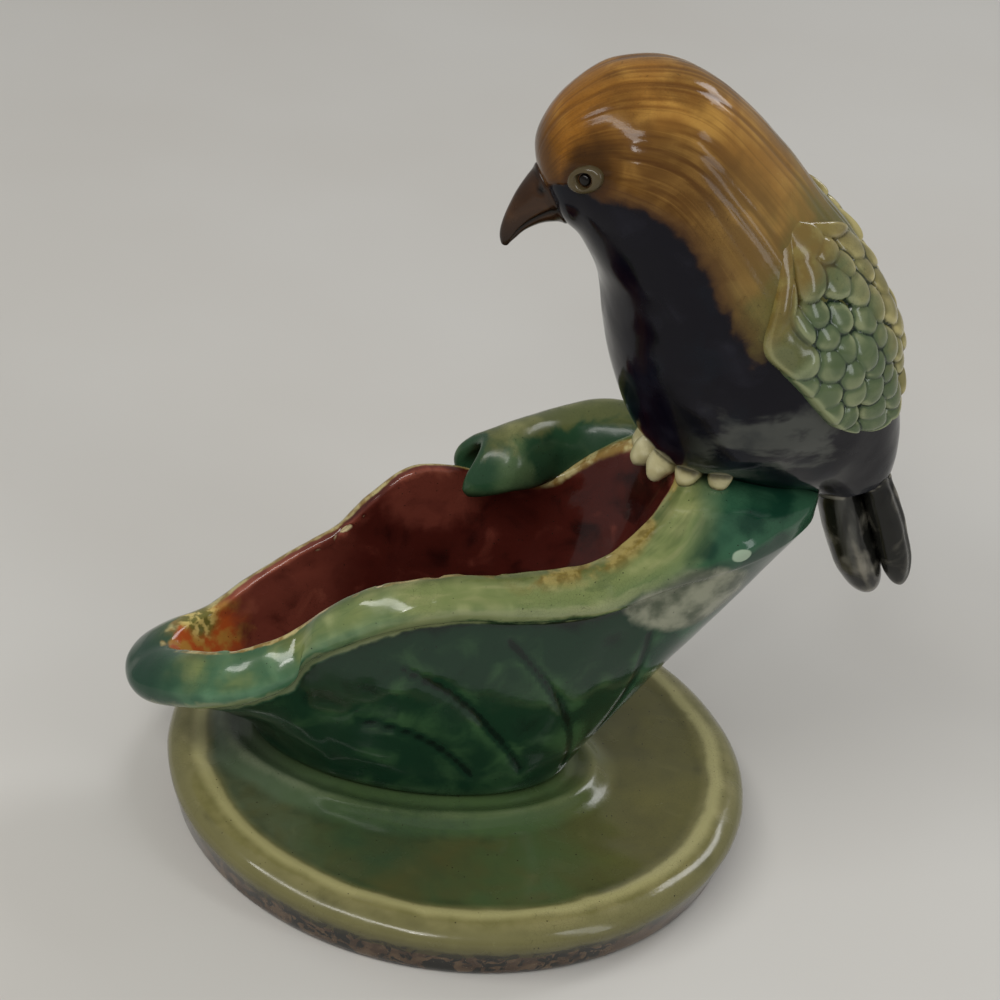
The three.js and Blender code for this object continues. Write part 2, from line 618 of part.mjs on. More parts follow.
function beakForm() {
  const steps = 8;
  const nudge = 0.02;
  const middle = (t) => point(along(BEAK, "ahead", t), 0, along(BEAK, "up", t));
  const rings = Array.from({ length: steps + 1 }, (_, i) => {
    const t = i / steps;
    const run = middle(Math.min(t + nudge, 1)).sub(middle(Math.max(t - nudge, 0))).normalize();
    const back = point(-run.z, 0, run.x);
    return ringOf(12, middle(t), back, along(BEAK, "deep", t), ACROSS, along(BEAK, "wide", t));
  });
  return skin(rings);
}

// Eyes: an oval ring of slip with the pupil standing in its hole.

const EYE_AT = { share: 0.195, turn: THREE.MathUtils.degToRad(77) };
const EYE_SLANT = THREE.MathUtils.degToRad(-12);

// A low oval button that stands on the head's skin, from depth below it to rise above it.
function button(halfLength, halfHeight, depth, rise) {
  const ring = (scale, height) =>
    ringOf(16, point(0, 0, height), point(1, 0, 0), halfLength * scale, ACROSS, halfHeight * scale);
  return skin([ring(1, -depth), ring(1, THREE.MathUtils.lerp(-depth, rise, 0.6)), ring(0.72, rise)]);
}

function onFace(geometry) {
  const slant = new THREE.Matrix4().makeRotationZ(EYE_SLANT);
  return geometry.applyMatrix4(bodySeat(EYE_AT.share, EYE_AT.turn).multiply(slant));
}

function eyeSocket() {
  const clear = 2; // the socket's form reaches this far out of the head
  return onFace(button(EYE_HALF_LENGTH + SLIP_GAP, EYE_HALF_HEIGHT + SLIP_GAP, EYE_DEPTH + SLIP_GAP, clear));
}

function eyeRing() {
  const holeRadius = PUPIL_RADIUS + SLIP_GAP;
  const hole = button(holeRadius, holeRadius, 2 * EYE_DEPTH, 3 * EYE_RISE);
  return onFace(cut(button(EYE_HALF_LENGTH, EYE_HALF_HEIGHT, EYE_DEPTH, EYE_RISE), hole));
}

function pupil() {
  return onFace(button(PUPIL_RADIUS, PUPIL_RADIUS, EYE_DEPTH, PUPIL_RISE));
}

// Toes: rolled pellets that grip the stalk in front of the belly. ahead, across and up are from the seat, in
// hundredths of the bird's height, and swing is in degrees.

const TOE_PLACES = [
  { name: "toe_near_outer", ahead: -9.5, across: -8.7, up: 5.3, swing: 70 },
  { name: "toe_near_middle", ahead: -15.3, across: -6.8, up: 4.6, swing: 44 },
  { name: "toe_near_inner", ahead: -20.2, across: -2.5, up: 3.7, swing: 20 },
  { name: "toe_far_inner", ahead: -22.1, across: 3.7, up: 3.4, swing: -4 },
  { name: "toe_far_middle", ahead: -20.7, across: 9.7, up: 3.4, swing: -28 },
  { name: "toe_far_outer", ahead: -16.4, across: 14.5, up: 3.4, swing: -56 },
];
const TOES = sized(TOE_PLACES, BIRD_HEIGHT, ["ahead", "across", "up"]);
const TOE_GIRTH = [0.35, 0.85, 1, 0.96, 0.72, 0.3]; // from the root to the claw
const TOE_DROOP = 1.6; // how far the claw hangs below the root

function toeForm({ ahead, across, up, swing }, grow = 0) {
  const rings = TOE_GIRTH.map((girth, i) => {
    const t = i / (TOE_GIRTH.length - 1);
    const middle = point((0.5 - t) * (TOE_LENGTH + 2 * grow), 0, -TOE_DROOP * t * t);
    return ringOf(8, middle, ACROSS, (TOE_RADIUS + grow) * girth, UP, (TOE_RADIUS + grow) * girth);
  });
  return skin(rings).rotateZ(THREE.MathUtils.degToRad(swing)).translate(ahead, across, up);
}

// Glazes

const glaze = (color, roughness) => new THREE.MeshStandardMaterial({ color, roughness, metalness: 0 });
const oliveGlaze = () => glaze(0x9aa35c, 0.2);
const leafGlaze = () => glaze(0x2c5c3c, 0.2);
const foldGlaze = () => glaze(0x3d6440, 0.2);
const plumageGlaze = () => glaze(0x15151c, 0.2);
const sageGlaze = () => glaze(0x5f7350, 0.25);
const beakGlaze = () => glaze(0x32231a, 0.3);
const toeGlaze = () => glaze(0xa5a074, 0.3);
const eyeGlaze = () => glaze(0x6b674c, 0.3);
const pupilGlaze = () => glaze(0x0c0a08, 0.2);
const tailGlaze = () => glaze(0x101013, 0.2);

// Pieces, luted together: the bird stands on the leaf, and the leaf on the base.

function piece(parent, name, geometry, material) {
  const mesh = new THREE.Mesh(geometry, material);
  mesh.name = name;
  parent.add(mesh);
}

const seat = point(BIRD_SEAT_AHEAD, BIRD_SEAT_ACROSS, BIRD_SEAT_UP);
const onLeaf = (geometry) => geometry.translate(seat.x, seat.y, seat.z);

function mirrored(geometry) {
  const index = geometry.index.array;
  for (let i = 0; i < index.length; i += 3) [index[i], index[i + 1]] = [index[i + 1], index[i]];
  return geometry.scale(1, -1, 1);
}

const base = () => join(baseDisc(), basePad());

function leafBowl() {
  const veins = [1, -1].flatMap((side) => VEINS.map((course) => vein(course, side)));
  const toes = TOES.map((toe) => onLeaf(toeForm(toe, SLIP_GAP)));
  return cut(leafForm(), onLeaf(birdForm(SLIP_GAP)), foldForm(SLIP_GAP), ...toes, ...veins);
}

function leafFold() {
  const toes = TOES.map((toe) => onLeaf(toeForm(toe, SLIP_GAP)));
  return cut(foldForm(0), onLeaf(birdForm(SLIP_GAP)), ...toes);
}

function birdBody() {
  const tail = [underFeather(SLIP_GAP), upperFeather(-1, SLIP_GAP), upperFeather(1, SLIP_GAP)];
  return cut(birdForm(0), ...tail, eyeSocket(), mirrored(eyeSocket()));
}

// Each toe gives way to the body and to the next toe.
function toe(i) {
  const next = TOES.slice(i + 1, i + 2).map((neighbour) => toeForm(neighbour, SLIP_GAP));
  return cut(toeForm(TOES[i]), birdForm(SLIP_GAP), ...next);
}

const beak = () => cut(beakForm(), birdForm(SLIP_GAP));
const tailUpper = (side) => cut(upperFeather(side), underFeather(SLIP_GAP));

const figure = new THREE.Group();
piece(figure, "base", base(), oliveGlaze());

const leaf = new THREE.Group();
leaf.position.set(LEAF_SHIFT, 0, PAD_TOP + SLIP_GAP);
figure.add(leaf);
piece(leaf, "leaf_bowl", leafBowl(), leafGlaze());
piece(leaf, "leaf_fold", leafFold(), foldGlaze());

const bird = new THREE.Group();
bird.position.copy(seat);
leaf.add(bird);
piece(bird, "bird_body", birdBody(), plumageGlaze());
piece(bird, "wing_near", wing(), sageGlaze());
piece(bird, "wing_far", mirrored(wing()), sageGlaze());
piece(bird, "beak", beak(), beakGlaze());
piece(bird, "eye_ring_near", eyeRing(), eyeGlaze());
piece(bird, "eye_ring_far", mirrored(eyeRing()), eyeGlaze());
piece(bird, "pupil_near", pupil(), pupilGlaze());
piece(bird, "pupil_far", mirrored(pupil()), pupilGlaze());
piece(bird, "tail_feather_near", tailUpper(-1), tailGlaze());
piece(bird, "tail_feather_far", tailUpper(1), tailGlaze());
piece(bird, "tail_feather_under", underFeather(), tailGlaze());
TOES.forEach(({ name }, i) => piece(bird, name, toe(i), toeGlaze()));

// The figure is moved along so that it stands evenly about the origin.
const span = new THREE.Box3().setFromObject(figure, true);
figure.position.x = -(span.min.x + span.max.x) / 2;

const object = new THREE.Group();
object.add(figure);

export default object;
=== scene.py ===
"""Glazed finish for a majolica ornament: a leaf dish on a round base, with a bird on the leaf's stalk.

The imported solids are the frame. Each glazed piece here follows the same forms as its solid, with a finer
surface, its relief, and the pooled, brushed and worn glaze of a hand-finished pot. Lengths are in
millimetres until a mesh is written, and +X runs from the leaf's tip towards the bird's tail.
"""

import json
import math

import bmesh
import bpy
import numpy as np
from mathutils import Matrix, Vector
from mathutils.bvhtree import BVHTree

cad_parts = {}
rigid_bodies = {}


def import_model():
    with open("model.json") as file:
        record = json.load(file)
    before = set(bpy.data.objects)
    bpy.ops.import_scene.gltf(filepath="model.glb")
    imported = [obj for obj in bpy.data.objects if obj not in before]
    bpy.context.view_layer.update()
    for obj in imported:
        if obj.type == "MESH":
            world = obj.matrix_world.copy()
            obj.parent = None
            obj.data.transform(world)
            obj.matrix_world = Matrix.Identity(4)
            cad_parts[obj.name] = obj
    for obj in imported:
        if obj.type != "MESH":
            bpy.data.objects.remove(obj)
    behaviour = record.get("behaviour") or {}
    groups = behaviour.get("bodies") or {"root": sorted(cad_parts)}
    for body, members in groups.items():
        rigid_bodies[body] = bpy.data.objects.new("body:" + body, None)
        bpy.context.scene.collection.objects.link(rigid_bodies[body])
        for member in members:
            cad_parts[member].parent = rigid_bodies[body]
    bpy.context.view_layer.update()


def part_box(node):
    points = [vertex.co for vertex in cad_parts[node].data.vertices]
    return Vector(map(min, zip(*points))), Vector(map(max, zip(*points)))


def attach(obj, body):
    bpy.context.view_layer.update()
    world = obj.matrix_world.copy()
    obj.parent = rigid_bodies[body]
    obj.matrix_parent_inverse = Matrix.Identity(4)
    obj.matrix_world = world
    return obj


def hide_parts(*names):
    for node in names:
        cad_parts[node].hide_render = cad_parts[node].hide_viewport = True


bl_info = {
    "name": "Majolica Bird Figure",
    "version": (1, 0, 0),
    "blender": (4, 5, 0),
    "location": "View3D > Sidebar > Majolica",
    "description": "Glazed pieces for a leaf dish with a perched bird",
    "category": "Object",
}

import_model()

MM = 0.001
UP = np.array([0.0, 0.0, 1.0])
ACROSS = np.array([0.0, 1.0, 0.0])


def millimetres(node):
    """The lowest and highest corners of a solid, in millimetres."""
    low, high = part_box(node)
    return np.array(low) / MM, np.array(high) / MM


# Places that follow from the frame

BASE_LOW, BASE_HIGH = millimetres("base")
BASE_RADIUS = (BASE_HIGH[1] - BASE_LOW[1]) / 2
BASE_MIDDLE = (BASE_LOW + BASE_HIGH) / 2
SLIP_GAP = 0.3
LEAF_SHIFT = -9.0
LEAF_LENGTH = 82.0
LEAF_FOOT = np.array([BASE_MIDDLE[0] + LEAF_SHIFT, 0.0, BASE_HIGH[2] + SLIP_GAP])
BIRD_HEIGHT = 73.3
BIRD_SEAT_AHEAD = 53.0
BIRD_SEAT_ACROSS = 3.0
BIRD_SEAT_UP = 54.4
BIRD_SEAT = LEAF_FOOT + [BIRD_SEAT_AHEAD, BIRD_SEAT_ACROSS, BIRD_SEAT_UP]


# Smooth curves through listed stations


def stations(rows, length, lengths=None):
    """Stations in millimetres. The rows, or their first few lengths alone, are hundredths of length."""
    table = np.array(rows, float)
    table[:, :lengths] = table[:, :lengths] * length / 100
    return table


def through(rows, index, share):
    """A smooth curve's value at a share of the way between the middle two of four stations."""
    a, b, c, d = (rows[i] for i in index)
    s = share[:, None]
    return b + 0.5 * s * (c - a + s * (2 * a - 5 * b + 4 * c - d + s * (3 * (b - c) + d - a)))


def along(rows, t):
    """Smooth values at shares t of the way along evenly spaced stations."""
    t = np.atleast_1d(np.asarray(t, float))
    span = len(rows) - 1
    at = np.clip(t, 0, 1) * span
    i = np.minimum(np.floor(at).astype(int), span - 1)
    return through(rows, [np.clip(i + k, 0, span) for k in (-1, 0, 1, 2)], at - i)


def around(rows, t):
    """The same round a closed ring of stations."""
    t = np.atleast_1d(np.asarray(t, float))
    count = len(rows)
    at = (t % 1) * count
    i = np.floor(at).astype(int)
    return through(rows, [(i + k) % count for k in (-1, 0, 1, 2)], at - i)


def smooth(low, high, x):
    """0 below low, 1 above high and a soft step between."""
    s = np.clip((np.asarray(x, float) - low) / (high - low), 0, 1)
    return s * s * (3 - 2 * s)


LATTICE = 32


def lumps(points, size, seed):
    """Smooth hand-made unevenness from -1 to 1, with swells of about that size."""
    lattice = np.random.default_rng(seed).uniform(-1, 1, (LATTICE, LATTICE, LATTICE))
    at = np.asarray(points, float) / size
    cell = np.floor(at).astype(int)
    s = at - cell
    s = s * s * (3 - 2 * s)
    total = np.zeros(len(at))
    for corner in range(8):
        step = np.array([corner & 1, corner >> 1 & 1, corner >> 2])
        weight = np.prod(np.where(step == 1, s, 1 - s), axis=1)
        i, j, k = ((cell + step) % LATTICE).T
        total += weight * lattice[i, j, k]
    return total


# Meshes


def deselect():
    if bpy.context.object and bpy.context.object.mode != "OBJECT":
        bpy.ops.object.mode_set(mode="OBJECT")
    bpy.ops.object.select_all(action="DESELECT")


def pick(piece):
    deselect()
    piece.select_set(True)
    bpy.context.view_layer.objects.active = piece


def finish_modifier(piece, kind, **settings):
    """Adds a modifier with these settings and applies it."""
    pick(piece)
    modifier = piece.modifiers.new(kind.title(), kind)
    for key, value in settings.items():
        setattr(modifier, key, value)
    bpy.ops.object.modifier_apply(modifier=modifier.name)


def subdivide(piece, levels):
    finish_modifier(piece, "SUBSURF", levels=levels, render_levels=levels)


def points_of(piece):
    flat = np.zeros(len(piece.data.vertices) * 3)
    piece.data.vertices.foreach_get("co", flat)
    return flat.reshape(-1, 3) / MM


def normals_of(piece):
    flat = np.zeros(len(piece.data.vertices) * 3)
    piece.data.vertex_normals.foreach_get("vector", flat)
    return flat.reshape(-1, 3)


def place_points(piece, points):
    piece.data.vertices.foreach_set("co", (points * MM).ravel())
    piece.data.update()


def values_of(piece, name):
    values = np.zeros(len(piece.data.vertices))
    piece.data.attributes[name].data.foreach_get("value", values)
    return values


def keep_values(piece, name, values):
    """Stores one number per point for the glazes to read."""
    held = piece.data.attributes.get(name) or piece.data.attributes.new(name, "FLOAT", "POINT")
    held.data.foreach_set("value", np.asarray(values, np.float32))


def raise_points(piece, height):
    """Moves every point of a piece along its normal."""
    place_points(piece, points_of(piece) + normals_of(piece) * np.asarray(height)[:, None])


def drawn_out(name, rings, marks=None, open_ends=False):
    """A piece drawn out: a circle is extruded ring by ring, and each ring's points are put in place.
    marks gives each point's own values, such as how far along and round the piece it lies."""
    sides = len(rings[0])
    deselect()
    bpy.ops.mesh.primitive_circle_add(vertices=sides, radius=MM, fill_type="NOTHING")
    piece = bpy.context.object
    piece.name = piece.data.name = name
    bpy.ops.object.mode_set(mode="EDIT")
    spots = {v: v for v in range(sides)}
    order = {}
    for count, ring in enumerate(rings):
        if count:
            spots = next_ring(piece, spots)
        order.update({v: j + count * sides for v, j in spots.items()})
        bm = bmesh.from_edit_mesh(piece.data)
        bm.verts.ensure_lookup_table()
        for v, j in spots.items():
            bm.verts[v].co = Vector(ring[j]) * MM
        bmesh.update_edit_mesh(piece.data)
    if not open_ends:
        close_end(piece, set(spots))
        close_end(piece, set(range(sides)))
    bpy.ops.object.mode_set(mode="OBJECT")
    for key, table in (marks or {}).items():
        given = np.asarray(table, float).reshape(-1)
        values = [given[order[v]] for v in range(len(order))]
        keep_values(piece, key, values if open_ends else [*values, given[-1], given[0]])
    face_out(piece)
    return piece


def next_ring(piece, spots):
    """Extrudes the last ring. Each new point takes the spot of the point that it came from."""
    bpy.ops.mesh.extrude_region_move()
    bm = bmesh.from_edit_mesh(piece.data)
    bm.verts.index_update()
    placed = {}
    for v in bm.verts:
        if v.select:
            beside = next(e.other_vert(v) for e in v.link_edges if not e.other_vert(v).select)
            placed[v.index] = spots[beside.index]
    return placed


def close_end(piece, ring):
    """Draws one end ring in to its middle."""
    bm = bmesh.from_edit_mesh(piece.data)
    for v in bm.verts:
        v.select_set(v.index in ring)
    bm.select_flush(True)
    bm.select_mode = {"VERT"}
    bmesh.update_edit_mesh(piece.data)
    bpy.ops.mesh.select_mode(type="VERT")
    bpy.ops.mesh.extrude_edges_move()
    bpy.ops.mesh.merge(type="CENTER")
    bm = bmesh.from_edit_mesh(piece.data)
    bm.verts.index_update()


def edit_all(piece, operator, **settings):
    """Runs one edit on all of a piece's points and faces."""
    pick(piece)
    bpy.ops.object.mode_set(mode="EDIT")
    bpy.ops.mesh.select_all(action="SELECT")
    operator(**settings)
    bpy.ops.object.mode_set(mode="OBJECT")


def pinch_ends(piece):
    """Joins points that lie in the same place."""
    edit_all(piece, bpy.ops.mesh.remove_doubles, threshold=0.001 * MM)
    face_out(piece)


def face_out(piece):
    edit_all(piece, bpy.ops.mesh.normals_make_consistent, inside=False)


def softened(piece, values, rounds):
    """Values per point, averaged with their neighbours a number of times."""
    ends = np.zeros(len(piece.data.edges) * 2, int)
    piece.data.edges.foreach_get("vertices", ends)
    a, b = ends.reshape(-1, 2).T
    count = np.bincount(np.r_[a, b], minlength=len(values))
    out = np.array(values, float)
    for _ in range(rounds):
        total = np.bincount(a, out[b], len(out)) + np.bincount(b, out[a], len(out))
        out = 0.5 * out + 0.5 * total / count
    return out


def mark_hollows(piece, rounds=12, name="hollow"):
    """Stores how far each point lies below (above 0) or above (below 0) its softened surroundings, in mm."""
    points = points_of(piece)
    soft = np.stack([softened(piece, points[:, k], rounds) for k in range(3)], 1)
    keep_values(piece, name, np.einsum("ij,ij->i", soft - points, normals_of(piece)))


def pool_against(piece, others, reach, rise):
    """Glaze and slip fill the corner where a piece meets its neighbours: points within reach of one rise."""
    points = points_of(piece)
    nearest = np.full(len(points), reach)
    for other in others:
        faces = [list(face.vertices) for face in other.data.polygons]
        skin = BVHTree.FromPolygons([Vector(p) for p in points_of(other)], faces)
        for i, p in enumerate(points):
            distance = skin.find_nearest(Vector(p), reach)[3]
            if distance is not None:
                nearest[i] = min(nearest[i], distance)
    share = softened(piece, 1 - nearest / reach, 2)
    raise_points(piece, rise * share**2)
    keep_values(piece, "joint", share)


def paint(piece, material):
    piece.data.materials.clear()
    piece.data.materials.append(material)


def settle(piece, material, slot, *nodes):
    """Last steps for every piece: its glaze, smooth shading and its place in the frame. The slot argument is
    not used.
    """
    paint(piece, material)
    pick(piece)
    bpy.ops.object.shade_smooth()
    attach(piece, "root")
    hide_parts(*nodes)


# Base: a round foot with a rolled edge, drawn out ring by ring from the middle of its hollow underside


PAD_HEIGHT = 0.9
LEAF_FOOT_HALF_LENGTH = 28.0
LEAF_FOOT_HALF_WIDTH = 16.0
LEAF_FOOT_TURN = math.radians(-14)
FOOT_INSET = 2.0
FOOT_RING_WIDTH = 8.0
FOOT_RECESS = 4.5
FOOT_BEAD = 2.2
BASE_EDGE_BREADTH = 5.2
BASE_EDGE_DROP = 3.3
DISH_DEPTH = 0.7
BASE_SIDES = 120


def base_profile():
    """Distance from the axis and height of each ring, from the underside's middle to the top's middle."""
    height = BASE_HIGH[2] - PAD_HEIGHT
    foot = BASE_RADIUS - FOOT_INSET
    waist = foot + 0.35
    recess = foot - FOOT_RING_WIDTH
    roll = BASE_RADIUS - BASE_EDGE_BREADTH
    dish = height - DISH_DEPTH
    straight = height - BASE_EDGE_DROP - FOOT_BEAD
    under = [(2, FOOT_RECESS), (recess - 5, FOOT_RECESS)]
    under += [(recess - 4, FOOT_RECESS - 0.4), (recess - 1, 0.9), (recess, 0)]
    ring = [(foot - 5, 0), (foot - 1.2, 0), (foot - 0.5, 0.2), (foot, 1.0), (waist, FOOT_BEAD)]
    side = [(waist + (BASE_RADIUS - waist) * s, FOOT_BEAD + straight * s) for s in (0.25, 0.5, 0.75, 1)]
    edge = []
    for turn in np.radians([20, 38, 55, 72, 90]):
        drop = BASE_EDGE_DROP * (1 - math.sin(turn))
        edge.append((roll + BASE_EDGE_BREADTH * math.cos(turn), height - drop))
    top = [(roll - 0.9, height - 0.12), (roll - 1.9, height - 0.4), (roll - 3.2, dish)]
    inner = [(radius, dish) for radius in np.arange(roll - 4.5, 2, -1.3)]
    return np.array(under + ring + side + edge + top + inner)


# The slip under the leaf lies this high and fades between these distances from the leaf's foot. A groove runs
# close round the foot, and a collar that was wiped up runs beyond that.
PAD_RISE = 1.65
PAD_REACH = (3, 10)
GROOVE_AWAY = 1.6
GROOVE_DEPTH = 0.4
GROOVE_WIDTH = 1.2
COLLAR_AWAY = 4.8
COLLAR_HEIGHT = 0.45
COLLAR_WIDTH = 1.4


def pad_swell(points):
    """How far the dish rises under the leaf and in the collar round the leaf's foot."""
    long, wide = (points - LEAF_FOOT)[:, :2].T
    c, s = math.cos(LEAF_FOOT_TURN), math.sin(LEAF_FOOT_TURN)
    long, wide = long * c + wide * s, wide * c - long * s
    share = np.hypot(long / LEAF_FOOT_HALF_LENGTH, wide / LEAF_FOOT_HALF_WIDTH)
    beyond = np.hypot(long, wide) * (1 - 1 / np.maximum(share, 0.05))
    rise = PAD_RISE * (1 - smooth(*PAD_REACH, beyond))
    groove = GROOVE_DEPTH * np.exp(-(((beyond - GROOVE_AWAY) / GROOVE_WIDTH) ** 2))
    return rise - groove + COLLAR_HEIGHT * np.exp(-(((beyond - COLLAR_AWAY) / COLLAR_WIDTH) ** 2))


def build_base():
    """Draws out the round base and raises the slip under the leaf."""
    turns = np.arange(BASE_SIDES) / BASE_SIDES * 2 * math.pi
    rings = []
    for radius, height in base_profile():
        ring = np.stack([np.cos(turns) * radius, np.sin(turns) * radius, np.full(BASE_SIDES, height)], 1)
        rings.append(ring + [BASE_MIDDLE[0], 0, 0])
    piece = drawn_out("base_glazed", rings)
    subdivide(piece, 1)
    points = points_of(piece)
    dish = (normals_of(piece)[:, 2] > 0.8) & (points[:, 2] > BASE_HIGH[2] / 2)
    points[:, 2] += np.where(dish, pad_swell(points), 0)
    place_points(piece, points)
    low = smooth(0.3, 2.5, points[:, 2])
    raise_points(piece, low * (0.22 * lumps(points, 14, 1) + 0.08 * lumps(points, 5, 2)))
    return piece


# Leaf bowl: a skin through rings that run from its foot up the outside, over the lip and down inside


LEAF_WALL = 4.5
LEAF_FLOOR = 4.5
LEAF_FOOT_BEAD = 1.2
LIP_CROWN = 1.6
PERCH_CROWN = 1.2
LIP_ROLL = 4.2
LIP_TUCK = 3.0
MOUTH_CENTRE = -2.0
MOUTH_HALF_WIDTH = 16.5
LEAF_COLUMNS = 132

# ahead, across, up, lip, fall and swell in hundredths of LEAF_LENGTH, the roll's share, and 1 where the place
# is counted from the bird's seat.
RIM = stations(
    [
        (-52.4, -1.2, 24.4, 9.1, 5.5, -6.1, 1, 0),
        (-44.5, -11.6, 30.7, 8.5, 6.1, -4.3, 1, 0),
        (-34.1, -15.9, 36.6, 7.9, 6.1, -1.2, 1, 0),
        (-27.4, -15.9, 41.1, 6.7, 4.9, 0.6, 1, 0),
        (-20.7, -18.3, 48.3, 6.7, 4.3, 1.2, 1, 0),
        (-9.8, -20.1, 54.1, 7.3, 3.7, 1.2, 1, 0),
        (2.4, -20.1, 56.1, 7.3, 3.7, 1.2, 1, 0),
        (14.6, -19.5, 56.3, 7.3, 4.3, 1.2, 1, 0),
        (28, -17.1, 57.3, 8.5, 4.9, 1.2, 1, 0),
        (-25.6, -15.2, -3.9, 12.2, 5.2, 1.2, 0.8, 1),
        (-18.9, -8.5, 1.5, 22, 4.9, 0.6, 0.1, 1),
        (-17.1, -1.2, 2.9, 32.3, 4.4, 0, 0, 1),
        (-20.7, 7.3, 2, 22, 5.9, 0.6, 0.1, 1),
        (-28, 12.2, -3.5, 11, 6.1, 1.2, 0.8, 1),
        (28, 18, 54.9, 7.3, 3.7, 1.2, 1, 0),
        (17.1, 19.5, 53, 6.1, 3.7, 1.2, 1, 0),
        (6.1, 20.1, 54.9, 6.1, 3.7, 1.2, 1, 0),
        (-2.4, 19.5, 54.3, 6.1, 3.7, 1.2, 1, 0),
        (-9.8, 18.5, 48.2, 6.1, 3.7, 1.2, 1, 0),
        (-17.1, 17.7, 40.2, 6.1, 3.7, 1.2, 1, 0),
        (-25.6, 17.1, 34.8, 6.1, 4.3, 0.6, 1, 0),
        (-34.1, 15.2, 29.3, 6.7, 4.9, -1.2, 1, 0),
        (-42.1, 11.6, 24.4, 7.3, 4.9, -3.7, 1, 0),
        (-48.8, 6.7, 23.8, 8.5, 4.9, -5.5, 1, 0),
    ],
    LEAF_LENGTH,
    lengths=6,
)
RIM[:, :3] += RIM[:, 7:] * [BIRD_SEAT_AHEAD, BIRD_SEAT_ACROSS, BIRD_SEAT_UP]


def rim_at(t):
    """The mouth's edge, its outward direction and the lip, fall, swell and roll at shares t round it."""
    rows = around(RIM, t)
    step = 0.004
    run = (around(RIM, t + step) - around(RIM, t - step))[:, :2]
    run /= np.linalg.norm(run, axis=1)[:, None]
    out = np.stack([run[:, 1], -run[:, 0], np.zeros(len(run))], 1)
    return rows[:, :3], out, rows[:, 3], rows[:, 4], rows[:, 5], rows[:, 6]


def foot_ring(edge, inset, up):
    """The bowl's oval foot, drawn in by inset, seen from its middle in the direction of each rim point."""
    ahead = (edge[:, 0] - MOUTH_CENTRE) / (LEAF_LENGTH / 2)
    turn = np.arctan2(edge[:, 1] / MOUTH_HALF_WIDTH, ahead) - LEAF_FOOT_TURN
    long = (LEAF_FOOT_HALF_LENGTH - inset) * np.cos(turn)
    wide = (LEAF_FOOT_HALF_WIDTH - inset) * np.sin(turn)
    c, s = math.cos(LEAF_FOOT_TURN), math.sin(LEAF_FOOT_TURN)
    return np.stack([long * c - wide * s, long * s + wide * c, np.full(len(turn), float(up))], 1)


def wall_at(t, height):
    """Points on the bowl's outer wall, at shares height of the way from the foot to the lip."""
    edge, out, lip, fall, swell, roll = rim_at(t)
    height = np.broadcast_to(height, edge[:, 0].shape)[:, None]
    neck = edge + out * (lip - LIP_TUCK * roll)[:, None] - UP * (fall + LIP_ROLL)[:, None]
    foot = foot_ring(edge, 0, LEAF_FOOT_BEAD)
    return foot + (neck - foot) * height + out * swell[:, None] * 4 * height * (1 - height)


def leaf_rings(t):
    """Every ring of the bowl's skin, each with its course: below 0 on the outer wall, 0 to 1 across the lip
    and above 1 inside."""
    edge, out, lip, fall, _, roll = rim_at(t)
    outer = edge + out * lip[:, None] - UP * fall[:, None]
    tuck = (LIP_TUCK * roll)[:, None]
    crown = (LIP_CROWN + PERCH_CROWN * (1 - roll))[:, None]
    floor = foot_ring(edge, LEAF_WALL + 1.5, LEAF_FLOOR)
    rings = [(-2.2, foot_ring(edge, 2.5, 0)), (-2.1, foot_ring(edge, 0.8, 0))]
    rings += [(-2, foot_ring(edge, 0, LEAF_FOOT_BEAD))]
    rings += [(-2 + 1.7 * s, wall_at(t, s)) for s in (0.08, 0.2, 0.35, 0.5, 0.65, 0.8, 0.92)]
    rings += [(-0.3, outer - out * tuck - UP * LIP_ROLL)]
    rings += [(-0.2, outer - out * tuck * 0.6 - UP * LIP_ROLL * 0.95)]
    rings += [(-0.12, outer - out * tuck * 0.2 - UP * LIP_ROLL * 0.7)]
    rings += [(-0.06, outer + out * tuck * 0.02 - UP * LIP_ROLL * 0.35), (0, outer)]
    for s in (0.12, 0.3, 0.5, 0.7, 0.88):
        rings.append((s, outer + (edge - outer) * s + UP * crown * math.sin(math.pi * s)))
    rings += [(1, edge)]
    for s in (0.06, 0.2, 0.4, 0.6, 0.8, 0.93):
        belly = 0.8 * 4 * s * (1 - s) if s > 0.1 else 0.25
        rings.append((1 + s, edge + (floor - edge) * s + out * belly))
    rings += [(2, floor), (2.2, foot_ring(edge, LEAF_WALL + 4, LEAF_FLOOR))]
    rings += [(2.4, foot_ring(edge, LEAF_WALL + 8, LEAF_FLOOR))]
    return rings


# Each vein rises over the wall: where round the rim and how far up it starts, then where it ends.
VEINS = [(0.266, 0.12, 0.168, 0.48), (0.318, 0.13, 0.21, 0.75)]
VEINS += [(0.374, 0.08, 0.286, 0.88), (0.402, 0.12, 0.38, 0.76)]
VEIN_BOW = 0.05
VEIN_DEPTH = 0.28
VEIN_HALF_WIDTH = 0.6
STALK_BAND = 6.0
CHIP_DEPTH = 0.35
CHIP_REACH = 1.1


def vein_courses():
    """Points along each vein on the near wall and on the far one."""
    share = np.linspace(0, 1, 160)
    for start, foot, end, reach in VEINS:
        t = start + (end - start) * share
        height = foot + (reach - foot) * share + VEIN_BOW * 4 * share * (1 - share)
        yield wall_at(t, height) + LEAF_FOOT
        yield wall_at(1 - t, height) + LEAF_FOOT


def lip_marks(t, rings):
    """How far outwards from the mouth's edge and from the lip's pale band each ring's points lie."""
    edge, _, lip, _, _, roll = rim_at(t)
    band = (lip + LIP_ROLL) * roll + STALK_BAND * (1 - roll)
    shore = [np.linalg.norm(ring - edge, axis=1) * (1 if course <= 1 else -1) for course, ring in rings]
    return shore, [row - band for row in shore]


